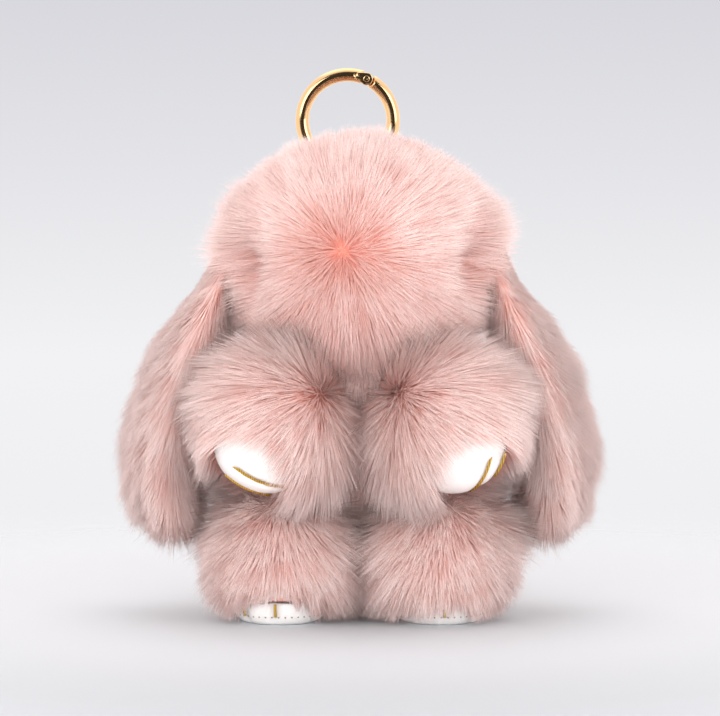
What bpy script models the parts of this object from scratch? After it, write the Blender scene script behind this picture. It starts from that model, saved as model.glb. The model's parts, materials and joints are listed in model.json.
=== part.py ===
"""Plush bunny bag charm: a stuffed fur bunny on a gold spring-gate ring.

The bunny sits on its rump and soles, facing -Y, with +Z up and the origin on the floor under
its middle. Every limb is a tapered capsule turned about its own axis, whose root is a ball
round the point it swings about, so it turns in its socket without touching the torso.
"""

import math

import bmesh
import bpy
from mathutils import Matrix, Vector

MM = 0.001

# Clearances
GAP = 0.4 * MM  # between pieces that are sewn or pressed together
SOCKET_GAP = 0.8 * MM  # between a limb's root and the hollow it turns in
PIN_GAP = 0.12 * MM  # round the hinge pin
WALL = 4.0 * MM  # pelt with its dense underfur

# Torso: an upright egg with a flat rump
TORSO_HALF_WIDTH = 30.0 * MM
TORSO_HALF_DEPTH = 22.0 * MM
TORSO_Y = 7.5 * MM
RUMP_RADIUS = 17.0 * MM
NECK_RADIUS = 18.0 * MM
NECK_Z = 88.5 * MM
NECK_BACK = 4.0 * MM  # how far the neck's middle sits behind the head's
TORSO_FILL_GAP = 1.5 * MM  # between the torso's softened wall and its stuffing

# Head: an ellipsoid turned about its own vertical axis
HEAD_RADIUS = 37.0 * MM
HEAD_HALF_HEIGHT = 32.5 * MM
HEAD_Y = -8.0 * MM

# Ears: flat tapered flaps, thin at the root
EAR_LENGTH = 98.0 * MM
EAR_HALF_WIDTH = 22.0 * MM
EAR_HALF_THICKNESS = 8.0 * MM
EAR_ROOT_RADIUS = 3.5 * MM
EAR_ROOT_RISE = 10.5 * MM  # of the root above the head's middle
EAR_SPREAD = 23.0 * MM  # how far the ear's belly hangs outside its root
EAR_SWEEP = 6.0 * MM  # how far the ear's belly hangs behind its root
EAR_Y = -4.0 * MM
EAR_HEAD_SPACE = 1.2 * MM  # between the ear's root and the head

# Arms: they reach forward, down and a little outward
ARM_ROOT_RADIUS = 12.0 * MM
ARM_RADIUS = 21.0 * MM
ARM_REACH = 18.0 * MM  # from the shoulder to the middle of the paw
ARM_X = 21.0 * MM
ARM_Y = -19.5 * MM
ARM_DIP = math.radians(39)
ARM_YAW = math.radians(25)
ARM_PAD_RADIUS = 14.5 * MM
ARM_LEG_SPACE = 2.2 * MM  # between an arm and the leg under it

# Legs: short stubs that stand on their soles
LEG_RADIUS = 18.5 * MM
LEG_REACH = 3.0 * MM
LEG_X = 25.5 * MM
LEG_Y = -19.5 * MM
LEG_PAD_RADIUS = 15.0 * MM
SOLE_FLAT_RADIUS = 10.5 * MM

# Paw pads and the gold threads that part their toes
PAD_WALL = 2.5 * MM
THREAD_RADIUS = 0.45 * MM
THREAD_STEPS = 7
THREAD_BACK = 0.6  # a hand's thread behind the pad's middle, as a share of its way to the rim
HAND_TOE_ANGLES = {  # of each thread outward from the pad's middle
    "left": (math.radians(4), math.radians(29)),
    "right": (math.radians(16), math.radians(35)),
}
HAND_TOE_TURN = {"left": math.radians(-50), "right": 0.0}  # of the toes from straight down
FOOT_TOE_ANGLES = (math.radians(4), math.radians(48))  # of each thread outward from ahead
FOOT_THREAD_START = math.radians(6)  # below the sole's rim, round its edge
FOOT_THREAD_END = math.radians(48)

# Tail
TAIL_RADIUS = 11.85 * MM
TAIL_Z = 25.0 * MM

# Spring-gate ring, in its own plane: angles run from +X towards +Z
RING_RADIUS = 14.8 * MM
TUBE_RADIUS = 2.2 * MM
RING_X = -4.0 * MM
RING_Y = 23.5 * MM
HINGE_ANGLE = math.radians(65.7)
GATE_TIP_ANGLE = math.radians(-20)
TIP_SLANT = math.radians(10)  # lets the tip swing inward past the ring's end
SLOT_HALF_WIDTH = 1.0 * MM
TANG_HALF_WIDTH = 0.65 * MM
TANG_RADIUS = 1.75 * MM
TANG_LENGTH = 4.6 * MM
TANG_ROOM = 0.2 * MM  # more than the gap, round the tang in its slot
PIN_RADIUS = 0.7 * MM
SPRING_RADIUS = 0.65 * MM
SPRING_WIRE_RADIUS = 0.16 * MM
SPRING_LENGTH = 3.2 * MM
SPRING_TURNS = 4
SPRING_POINTS_A_TURN = 8

# Leather strap that holds the ring, and what holds the strap in the head
STRAP_WIDTH = 6.5 * MM
STRAP_THICKNESS = 1.2 * MM
STRAP_PLAY = 0.4 * MM  # between the strap's eye and the ring's knuckle
STRAP_STEM = 1.3 * MM  # from the eye down to the bend
STEM_SPREAD = math.radians(40)  # where the eye runs into the stem
STRAP_TAIL_LENGTH = 10.0 * MM
BUTTON_RADIUS = 5.0 * MM
BUTTON_THICKNESS = 2.0 * MM

# Mesh fineness
LIMB_STEPS = 16
HEAD_STEPS = 20
RING_STEPS = 48
RING_SIDES = 10
ARC_STEP = math.radians(18)
ROUND_STEPS = 14
EAR_SIDES = 10
SOLE_STEPS = 5
TANG_STEPS = 8
PIN_SIDES = 12
SHOULDER_SIDES = 24

COLOURS = {
    "fur": ((0.80, 0.50, 0.46), 0.90, 0.0),
    "stuffing": ((0.90, 0.89, 0.86), 0.95, 0.0),
    "leatherette": ((0.88, 0.87, 0.86), 0.45, 0.0),
    "gold_thread": ((0.75, 0.52, 0.13), 0.35, 0.6),
    "gold_metal": ((0.83, 0.60, 0.33), 0.18, 1.0),
    "spring_steel": ((0.60, 0.60, 0.60), 0.30, 1.0),
    "strap_leather": ((0.78, 0.47, 0.43), 0.55, 0.0),
    "button_plastic": ((0.85, 0.83, 0.80), 0.40, 0.0),
}
DOWN = Vector((0, 0, -1))


# Scene helpers


def clear_scene():
    """Remove every object, so that only this model is left."""
    for obj in list(bpy.data.objects):
        bpy.data.objects.remove(obj)


def new_collection(name):
    """A collection under the scene's own."""
    made = bpy.data.collections.new(name)
    bpy.context.scene.collection.children.link(made)
    return made


def paint(obj, finish):
    """Give a piece its own Principled material."""
    colour, roughness, metallic = COLOURS[finish]
    mat = bpy.data.materials.new(obj.name + "_" + finish)
    mat.use_nodes = True
    shader = mat.node_tree.nodes["Principled BSDF"]
    shader.inputs["Base Color"].default_value = (*colour, 1)
    shader.inputs["Roughness"].default_value = roughness
    shader.inputs["Metallic"].default_value = metallic
    obj.data.materials.clear()
    obj.data.materials.append(mat)


def add_piece(name, data, finish, matrix=Matrix.Identity(4)):
    """A named piece of the model, placed by its matrix."""
    obj = bpy.data.objects.new(name, data)
    bunny.objects.link(obj)
    obj.matrix_world = matrix
    paint(obj, finish)
    return obj


def add_cutter(name, data, matrix=Matrix.Identity(4)):
    """A hidden piece that only shapes others."""
    obj = bpy.data.objects.new(name, data)
    cutters.objects.link(obj)
    obj.matrix_world = matrix
    obj.hide_render = True
    obj.display_type = "WIRE"
    return obj


def combine(obj, tool, operation="DIFFERENCE"):
    """Cut a piece with a tool, or join them."""
    mod = obj.modifiers.new(operation.title() + " " + tool.name, "BOOLEAN")
    mod.object = tool
    mod.operation = operation
    mod.solver = "EXACT"


def mesh_from(bm, name):
    """Turn a bmesh into mesh data with outward normals."""
    bmesh.ops.recalc_face_normals(bm, faces=bm.faces)
    mesh = bpy.data.meshes.new(name)
    bm.to_mesh(mesh)
    bm.free()
    return mesh


def smooth(mesh):
    """Shade a round mesh smooth, with its sharp edges kept."""
    mesh.shade_smooth()
    mesh.set_sharp_from_angle(angle=math.radians(40))
    return mesh


# Shape helpers


def ball_mesh(name, radius):
    """A sphere about its middle."""
    bm = bmesh.new()
    bmesh.ops.create_uvsphere(bm, u_segments=16, v_segments=10, radius=radius)
    return smooth(mesh_from(bm, name))


def box_mesh(name, size):
    """A box of the given size about its middle."""
    bm = bmesh.new()
    bmesh.ops.create_cube(bm, size=1)
    bmesh.ops.scale(bm, vec=size, verts=bm.verts)
    return mesh_from(bm, name)


def rod_mesh(name, radius, length, sides=ROUND_STEPS):
    """A cylinder along Y about its middle."""
    bm = bmesh.new()
    turn = Matrix.Rotation(math.pi / 2, 4, "X")
    bmesh.ops.create_cone(
        bm,
        cap_ends=True,
        segments=sides,
        radius1=radius,
        radius2=radius,
        depth=length,
        matrix=turn,
    )
    return smooth(mesh_from(bm, name))


def even_angles(start, end, steps):
    """Angles from start to end in even steps."""
    return [start + (end - start) * i / steps for i in range(steps + 1)]


def arc_points(radius, centre_z, start, end):
    """Profile points on a circle about the Z axis's point centre_z; angles run down from +Z."""
    steps = max(1, math.ceil(abs(end - start) / ARC_STEP))
    angles = even_angles(start, end, steps)
    return [(radius * math.sin(a), centre_z + radius * math.cos(a)) for a in angles]


def turned(name, profile, finish, matrix, wall=0.0, steps=LIMB_STEPS, cutter=False):
    """A profile of (radius, height) points, top to bottom, turned about Z; a wall goes inward."""
    mesh = bpy.data.meshes.new(name)
    points = [(max(r, 0.0), 0.0, z) for r, z in profile]
    mesh.from_pydata(points, [(i, i + 1) for i in range(len(points) - 1)], [])
    obj = add_cutter(name, mesh, matrix) if cutter else add_piece(name, mesh, finish, matrix)
    screw = obj.modifiers.new("Turn", "SCREW")
    screw.steps = steps
    screw.render_steps = steps
    screw.use_merge_vertices = True
    screw.merge_threshold = 0.01 * MM
    screw.use_smooth_shade = True
    if wall:
        add_wall(obj, wall)
    return obj


def add_wall(obj, wall):
    """Thicken an open surface inward."""
    solid = obj.modifiers.new("Wall", "SOLIDIFY")
    solid.thickness = wall
    solid.offset = -1
    solid.use_even_offset = True
    solid.use_rim = True


def loft_mesh(name, rings, close_start=True, close_end=True):
    """A skin through rings of points, listed top to bottom, with flat ends where they are closed."""
    bm = bmesh.new()
    made = [[bm.verts.new(p) for p in ring] for ring in rings]
    for upper, lower in zip(made, made[1:]):
        for i in range(len(upper)):
            j = (i + 1) % len(upper)
            bm.faces.new((upper[i], upper[j], lower[j], lower[i]))
    if close_start:
        bm.faces.new(made[0])
    if close_end:
        bm.faces.new(list(reversed(made[-1])))
    return mesh_from(bm, name)


def ellipse_ring(centre, half_x, half_y, sides, tilt=0.0):
    """Points of a level ellipse, tilted about Y."""
    turn = Matrix.Rotation(tilt, 3, "Y")
    ring = []
    for i in range(sides):
        a = 2 * math.pi * i / sides
        ring.append(Vector(centre) + turn @ Vector((half_x * math.cos(a), half_y * math.sin(a), 0)))
    return ring


def soften(obj, levels=1):
    """Round a coarse cage."""
    sub = obj.modifiers.new("Soften", "SUBSURF")
    sub.levels = levels
    sub.render_levels = levels


# Limbs


def capsule_profile(root, belly, reach, end_angle, inset=0.0):
    """The outer side of a tapered capsule: root ball at 0, belly ball at -reach, up to end_angle."""
    lean = math.asin((belly - root) / reach)
    meet = math.pi / 2 - lean
    points = arc_points(root - inset, 0.0, 0.0, meet)
    points += arc_points(belly - inset, -reach, meet, end_angle)
    kept = [points[0]]
    for p in points[1:]:
        if math.dist(p, kept[-1]) > 0.2 * MM:
            kept.append(p)
    return kept


def limb_matrix(pivot, direction):
    """Place a limb whose own -Z runs along the direction."""
    turn = DOWN.rotation_difference(direction).to_matrix().to_4x4()
    return Matrix.Translation(pivot) @ turn


def thread_mesh(name, points):
    """A round thread along the points, as one closed mesh."""
    curve = bpy.data.curves.new(name, "CURVE")
    curve.dimensions = "3D"
    curve.bevel_depth = THREAD_RADIUS
    curve.bevel_resolution = 1
    curve.use_fill_caps = True
    spline = curve.splines.new("POLY")
    spline.points.add(len(points) - 1)
    for point, place in zip(spline.points, points):
        point.co = (*place, 1)
    return mesh_of_curve(curve, name)


def mesh_of_curve(curve, name):
    """The mesh of a curve, with its loose caps welded on."""
    holder = bpy.data.objects.new(name + "_curve", curve)
    bpy.context.scene.collection.objects.link(holder)
    bpy.context.view_layer.update()
    evaluated = holder.evaluated_get(bpy.context.evaluated_depsgraph_get())
    mesh = bpy.data.meshes.new_from_object(evaluated)
    bpy.data.objects.remove(holder)
    bm = bmesh.new()
    bm.from_mesh(mesh)
    bmesh.ops.remove_doubles(bm, verts=bm.verts, dist=0.001 * MM)
    return smooth(mesh_from(bm, name))


def toe_threads(prefix, angles, path_at, matrix):
    """The threads that part a pad's toes; path_at gives a thread's points from its angle."""
    for n, angle in enumerate(angles):
        name = f"{prefix}_thread_{n + 1}"
        add_piece(name, thread_mesh(name, path_at(angle)), "gold_thread", matrix)


def arm(side, sign):
    """An arm: fur sleeve, stuffing, domed leatherette pad and two toe threads."""
    direction = Vector(
        (
            sign * math.cos(ARM_DIP) * math.sin(ARM_YAW),
            -math.cos(ARM_DIP) * math.cos(ARM_YAW),
            -math.sin(ARM_DIP),
        )
    )
    matrix = limb_matrix(Vector((sign * ARM_X, ARM_Y, SHOULDER_Z)), direction)
    open_angle = math.pi - math.asin(ARM_PAD_RADIUS / ARM_RADIUS)
    shape = (ARM_ROOT_RADIUS, ARM_RADIUS, ARM_REACH)
    turned(f"arm_{side}_fur", capsule_profile(*shape, open_angle), "fur", matrix, wall=WALL)
    filling = capsule_profile(*shape, math.pi, inset=WALL + GAP)
    turned(f"arm_{side}_stuffing", filling, "stuffing", matrix)

    rim_angle = open_angle + GAP / ARM_RADIUS * 1.5
    outside = arc_points(ARM_RADIUS, -ARM_REACH, rim_angle, math.pi)
    inside = arc_points(ARM_RADIUS - PAD_WALL, -ARM_REACH, rim_angle, math.pi)
    turned(f"hand_pad_{side}", list(reversed(inside)) + outside, "leatherette", matrix)

    height = ARM_RADIUS + GAP + THREAD_RADIUS
    rim = math.pi - rim_angle - THREAD_RADIUS / ARM_RADIUS
    toe_way = matrix.to_3x3().inverted() @ DOWN
    toe_way = Matrix.Rotation(HAND_TOE_TURN[side], 3, "Z") @ Vector((toe_way.x, toe_way.y, 0))
    toe_way.normalize()
    across = DOWN.cross(toe_way) * sign

    def path(angle):
        end = math.acos(math.cos(rim) / math.cos(angle))
        start = -THREAD_BACK * end
        points = []
        for i in range(THREAD_STEPS):
            fall = start + (end - start) * i / (THREAD_STEPS - 1)
            along = DOWN * math.cos(fall) + toe_way * math.sin(fall)
            v = along * math.cos(angle) + across * math.sin(angle)
            points.append(v.normalized() * height + DOWN * ARM_REACH)
        return points

    toe_threads(f"hand_{side}", HAND_TOE_ANGLES[side], path, matrix)
    room = capsule_profile(*shape, math.pi, inset=-SOCKET_GAP)
    return turned(f"shoulder_{side}", room, None, matrix, cutter=True)


def leg(side, sign):
    """A leg: fur sleeve, stuffing, flat sole pad and two toe threads."""
    matrix = Matrix.Translation((sign * LEG_X, LEG_Y, HIP_Z))
    open_angle = math.pi - math.asin(LEG_PAD_RADIUS / LEG_RADIUS)
    shape = (LEG_RADIUS, LEG_RADIUS, LEG_REACH)
    turned(f"leg_{side}_fur", capsule_profile(*shape, open_angle), "fur", matrix, wall=WALL)
    filling = capsule_profile(*shape, math.pi, inset=WALL + GAP)
    turned(f"leg_{side}_stuffing", filling, "stuffing", matrix)

    rim_z = LEG_RADIUS * math.cos(open_angle) - LEG_REACH - GAP
    rim_radius = LEG_PAD_RADIUS - GAP
    drop = HIP_Z + rim_z  # from the pad's rim to the floor
    curl = rim_radius - SOLE_FLAT_RADIUS  # how far the sole's round edge reaches outward
    edge = []
    for a in even_angles(0.0, math.pi / 2, SOLE_STEPS):
        edge.append((SOLE_FLAT_RADIUS + curl * math.cos(a), rim_z - drop * math.sin(a)))
    inner = [(0.0, -HIP_Z + PAD_WALL), (SOLE_FLAT_RADIUS, -HIP_Z + PAD_WALL)]
    inner.append((rim_radius - PAD_WALL, rim_z))
    turned(f"foot_pad_{side}", inner + edge + [(0.0, -HIP_Z)], "leatherette", matrix)

    lift = GAP + THREAD_RADIUS
    toes = []
    for a in even_angles(FOOT_THREAD_START, FOOT_THREAD_END, THREAD_STEPS - 1):
        z = rim_z - (drop - lift) * math.sin(a) + lift / 2
        toes.append((SOLE_FLAT_RADIUS + lift + curl * math.cos(a), z))

    def path(angle):
        turn = sign * angle
        return [Vector((r * math.sin(turn), -r * math.cos(turn), z)) for r, z in toes]

    toe_threads(f"foot_{side}", FOOT_TOE_ANGLES, path, matrix)
    room = capsule_profile(*shape, math.pi, inset=-SOCKET_GAP)
    return turned(f"hip_{side}", room, None, matrix, cutter=True)


# Head, torso, ears and tail


def head():
    """The head: fur shell open at the neck, and its stuffing."""
    matrix = Matrix.Translation((0, HEAD_Y, HEAD_Z))
    end = math.pi - math.asin(NECK_RADIUS / HEAD_RADIUS)

    def profile(radius, height, end_angle):
        angles = even_angles(0.0, end_angle, math.ceil(end_angle / ARC_STEP) + 3)
        return [(radius * math.sin(a), height * math.cos(a)) for a in angles]

    outer = profile(HEAD_RADIUS, HEAD_HALF_HEIGHT, end)
    shell = turned("head_fur", outer, "fur", matrix, wall=WALL, steps=HEAD_STEPS)
    inset = WALL + 2 * GAP
    inner_height = HEAD_HALF_HEIGHT - inset
    floor_z = NECK_Z + GAP - HEAD_Z
    inner_end = math.acos(max(-1.0, floor_z / inner_height))
    inner = profile(HEAD_RADIUS - inset, inner_height, inner_end)
    stuffing = turned("head_stuffing", inner + [(0.0, inner[-1][1])], "stuffing", matrix)
    return shell, stuffing


def torso_rings(inset, lowest, highest):
    """Level ellipses of the torso, top to bottom, drawn in by an inset."""
    height = NECK_Z
    shape = [
        # share of the neck's height, half-width, half-depth, how far the middle sits forward
        (1.00, NECK_RADIUS, NECK_RADIUS * 0.75, 1.0),
        (0.88, NECK_RADIUS + (TORSO_HALF_WIDTH - NECK_RADIUS) * 0.3, NECK_RADIUS * 0.85, 0.7),
        (0.70, TORSO_HALF_WIDTH * 0.93, TORSO_HALF_DEPTH * 0.93, 0.3),
        (0.46, TORSO_HALF_WIDTH * 1.03, TORSO_HALF_DEPTH * 1.05, 0.0),
        (0.22, TORSO_HALF_WIDTH, TORSO_HALF_DEPTH, 0.0),
        (0.05, RUMP_RADIUS * 1.25, RUMP_RADIUS * 1.12, 0.0),
        (0.00, RUMP_RADIUS, RUMP_RADIUS * 0.9, 0.0),
    ]
    forward = TORSO_Y - HEAD_Y - NECK_BACK
    rings = []
    for share, half_x, half_y, lean in shape:
        z = min(max(share * height, lowest), highest)
        centre = (0, TORSO_Y - forward * lean, z)
        rings.append(ellipse_ring(centre, half_x - inset, half_y - inset, ROUND_STEPS))
    return rings


def torso():
    """The torso: fur shell open at the neck with a flat rump, and its stuffing."""
    rings = torso_rings(0.0, 0.0, NECK_Z)
    shell_mesh = loft_mesh("torso_fur", rings, close_start=False)
    shell = add_piece("torso_fur", shell_mesh, "fur")
    crease_rims(shell.data)
    soften(shell)
    add_wall(shell, WALL)
    inset = WALL + TORSO_FILL_GAP
    rings = torso_rings(inset, inset, NECK_Z - GAP)
    stuffing = add_piece("torso_stuffing", loft_mesh("torso_stuffing", rings), "stuffing")
    crease_rims(stuffing.data)
    soften(stuffing)
    return shell, stuffing


def crease_rims(mesh):
    """Keep the edges round a flat or open end where they are when the cage is softened."""
    bm = bmesh.new()
    bm.from_mesh(mesh)
    crease = bm.edges.layers.float.new("crease_edge")
    for edge in bm.edges:
        if edge.is_boundary or any(len(f.verts) > 4 for f in edge.link_faces):
            edge[crease] = 1.0
    bm.to_mesh(mesh)
    bm.free()


def ear(side, sign):
    """An ear: a flap that hangs from a thin round root, widest near its lower end."""
    shape = [
        # share of the length, share of the spread, of the thickness, of the width
        (-0.036, 0.00, -0.43, 0.30),
        (0.00, 0.00, 0.00, 0.44),
        (0.09, 0.06, 0.00, 0.58),
        (0.19, 0.17, 0.14, 0.72),
        (0.32, 0.40, 0.48, 0.86),
        (0.48, 0.68, 0.80, 0.96),
        (0.64, 0.89, 1.00, 1.00),
        (0.78, 0.99, 1.00, 0.95),
        (0.90, 0.97, 0.80, 0.76),
        (1.00, 0.93, 0.35, 0.42),
    ]
    rings = []
    for along, spread, thick, wide in shape:
        half_x = EAR_ROOT_RADIUS + (EAR_HALF_THICKNESS - EAR_ROOT_RADIUS) * thick
        centre = (
            sign * EAR_SPREAD * spread,
            EAR_SWEEP * math.sqrt(max(along, 0.0)),
            -EAR_LENGTH * along,
        )
        rings.append(ellipse_ring(centre, half_x, EAR_HALF_WIDTH * wide, EAR_SIDES))
    matrix = Matrix.Translation((sign * EAR_X, EAR_Y, EAR_ROOT_Z))
    flap = add_piece(f"ear_{side}", loft_mesh(f"ear_{side}", rings), "fur", matrix)
    soften(flap)
    return flap


def tail():
    """A round pompom against the torso's back."""
    y = TORSO_Y + TORSO_HALF_DEPTH + GAP + TAIL_RADIUS
    mesh = ball_mesh("tail_pompom", TAIL_RADIUS)
    add_piece("tail_pompom", mesh, "fur", Matrix.Translation((0, y, TAIL_Z)))


# Ring, gate and strap


def in_ring(angle, radius=RING_RADIUS):
    """A point of the ring's plane, from its angle and distance from the ring's middle."""
    return Vector((radius * math.cos(angle), 0, radius * math.sin(angle)))


def prism(name, outline, half_width):
    """A flat outline of the ring's plane, extruded both ways along Y."""
    bm = bmesh.new()
    near = [bm.verts.new((p.x, -half_width, p.z)) for p in outline]
    far = [bm.verts.new((p.x, half_width, p.z)) for p in outline]
    bm.faces.new(near)
    bm.faces.new(list(reversed(far)))
    for i in range(len(near)):
        j = (i + 1) % len(near)
        bm.faces.new((near[j], near[i], far[i], far[j]))
    return mesh_from(bm, name)


def gate_wedge(name, pull_back):
    """The part of the plane that the gate takes, from the hinge to its slanted tip."""
    hinge = in_ring(HINGE_ANGLE)
    tip = in_ring(GATE_TIP_ANGLE)
    chord = (tip - hinge).normalized()
    normal = Matrix.Rotation(-TIP_SLANT, 3, "Y") @ chord
    along = Matrix.Rotation(math.pi / 2, 3, "Y") @ normal
    reach = 3 * TUBE_RADIUS
    tip = tip - normal * pull_back
    outward = in_ring(HINGE_ANGLE, 1.0)
    corners = [
        hinge - outward * reach,
        hinge + outward * reach,
        in_ring((HINGE_ANGLE * 2 + GATE_TIP_ANGLE) / 3, RING_RADIUS + 2 * reach),
        in_ring((HINGE_ANGLE + GATE_TIP_ANGLE * 2) / 3, RING_RADIUS + 2 * reach),
        tip - along * reach,
        tip + along * reach,
    ]
    return prism(name, corners, 2 * TUBE_RADIUS)


def torus_mesh(name):
    """The whole ring as one closed tube in its plane."""
    bpy.ops.mesh.primitive_torus_add(
        major_segments=RING_STEPS,
        minor_segments=RING_SIDES,
        major_radius=RING_RADIUS,
        minor_radius=TUBE_RADIUS,
    )
    made = bpy.context.object
    mesh = made.data
    bpy.data.objects.remove(made)
    mesh.name = name
    mesh.transform(Matrix.Rotation(math.pi / 2, 4, "X"))
    return mesh


def spring_mesh(name):
    """A small coil along +X, one round-wire body."""
    count = SPRING_TURNS * SPRING_POINTS_A_TURN
    curve = bpy.data.curves.new(name, "CURVE")
    curve.dimensions = "3D"
    curve.bevel_depth = SPRING_WIRE_RADIUS
    curve.bevel_resolution = 1
    curve.use_fill_caps = True
    spline = curve.splines.new("POLY")
    spline.points.add(count)
    for i, point in enumerate(spline.points):
        a = 2 * math.pi * i / SPRING_POINTS_A_TURN
        x = SPRING_LENGTH * i / count
        point.co = (x, SPRING_RADIUS * math.cos(a), SPRING_RADIUS * math.sin(a), 1)
    return mesh_of_curve(curve, name)


def ring():
    """The ring's body, its gate, the pin that they turn on and the spring behind the tang."""
    matrix = Matrix.Translation((RING_X, RING_Y, RING_Z))
    hinge = in_ring(HINGE_ANGLE)
    at_hinge = matrix @ Matrix.Translation(hinge)
    body = add_piece("ring_body", torus_mesh("ring_body"), "gold_metal", matrix)
    gate_mesh = torus_mesh("ring_gate")
    gate_mesh.transform(Matrix.Translation(-hinge))
    gate = add_piece("ring_gate", gate_mesh, "gold_metal", at_hinge)

    combine(body, add_cutter("gate_place", gate_wedge("gate_place", 0.0), matrix))
    knuckle = rod_mesh("knuckle", TUBE_RADIUS, 2 * TUBE_RADIUS)
    combine(body, add_cutter("knuckle", knuckle, at_hinge), "UNION")
    slot = rod_mesh("tang_slot", TANG_RADIUS + GAP + TANG_ROOM, 2 * SLOT_HALF_WIDTH)
    combine(body, add_cutter("tang_slot", slot, at_hinge))
    mouth = box_mesh("slot_mouth", (2 * TUBE_RADIUS, 2 * SLOT_HALF_WIDTH, 2 * TUBE_RADIUS + GAP))
    mouth_turn = Matrix.Rotation(math.pi / 2 - HINGE_ANGLE, 4, "Y")
    mouth_place = at_hinge @ mouth_turn @ Matrix.Translation((TUBE_RADIUS, 0, 0))
    combine(body, add_cutter("slot_mouth", mouth, mouth_place))
    hole = rod_mesh("pin_hole", PIN_RADIUS + PIN_GAP, 3 * TUBE_RADIUS, sides=PIN_SIDES)
    combine(body, add_cutter("pin_hole", hole, at_hinge))

    bore_start = TANG_RADIUS + GAP
    first = in_ring(HINGE_ANGLE + bore_start / RING_RADIUS)
    last = in_ring(HINGE_ANGLE + (bore_start + SPRING_LENGTH + 3 * GAP) / RING_RADIUS)
    axis = (last - first).normalized()
    bore_length = (last - first).length + GAP
    bore = rod_mesh("spring_bore", SPRING_RADIUS + SPRING_WIRE_RADIUS + GAP, bore_length, sides=PIN_SIDES)
    bore_turn = Vector((0, 1, 0)).rotation_difference(axis).to_matrix().to_4x4()
    bore_place = matrix @ Matrix.Translation(first + axis * (bore_length / 2 - GAP)) @ bore_turn
    combine(body, add_cutter("spring_bore", bore, bore_place))
    coil_turn = Vector((1, 0, 0)).rotation_difference(axis).to_matrix().to_4x4()
    coil_place = matrix @ Matrix.Translation(first + axis * 1.5 * GAP) @ coil_turn
    add_piece("gate_spring", spring_mesh("gate_spring"), "spring_steel", coil_place)

    keep = add_cutter("gate_keep", gate_wedge("gate_keep", GAP), matrix)
    combine(gate, keep, "INTERSECT")
    shoulder = rod_mesh("gate_shoulder", TUBE_RADIUS + GAP, 3 * TUBE_RADIUS, sides=SHOULDER_SIDES)
    combine(gate, add_cutter("gate_shoulder", shoulder, at_hinge))
    tang_turn = Matrix.Rotation(math.pi / 2 - HINGE_ANGLE, 4, "Y")
    tang = add_cutter("tang", tang_mesh(), at_hinge @ tang_turn)
    combine(gate, tang, "UNION")
    combine(gate, add_cutter("tang_hole", hole.copy(), at_hinge))

    pin_mesh = rod_mesh("gate_hinge_pin", PIN_RADIUS, 2 * TUBE_RADIUS, sides=PIN_SIDES)
    add_piece("gate_hinge_pin", pin_mesh, "gold_metal", at_hinge)


def tang_mesh():
    """The gate's flat tang: round about the pin, running along +X into the gate."""
    outline = []
    for a in even_angles(math.pi / 2, 3 * math.pi / 2, TANG_STEPS):
        outline.append(Vector((TANG_RADIUS * math.cos(a), 0, TANG_RADIUS * math.sin(a))))
    sag = TANG_LENGTH**2 / (2 * RING_RADIUS)
    half_tip = TANG_RADIUS * 0.7
    outline.append(Vector((TANG_LENGTH, 0, -sag - half_tip)))
    outline.append(Vector((TANG_LENGTH, 0, -sag + half_tip)))
    return prism("tang", outline, TANG_HALF_WIDTH)


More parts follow.
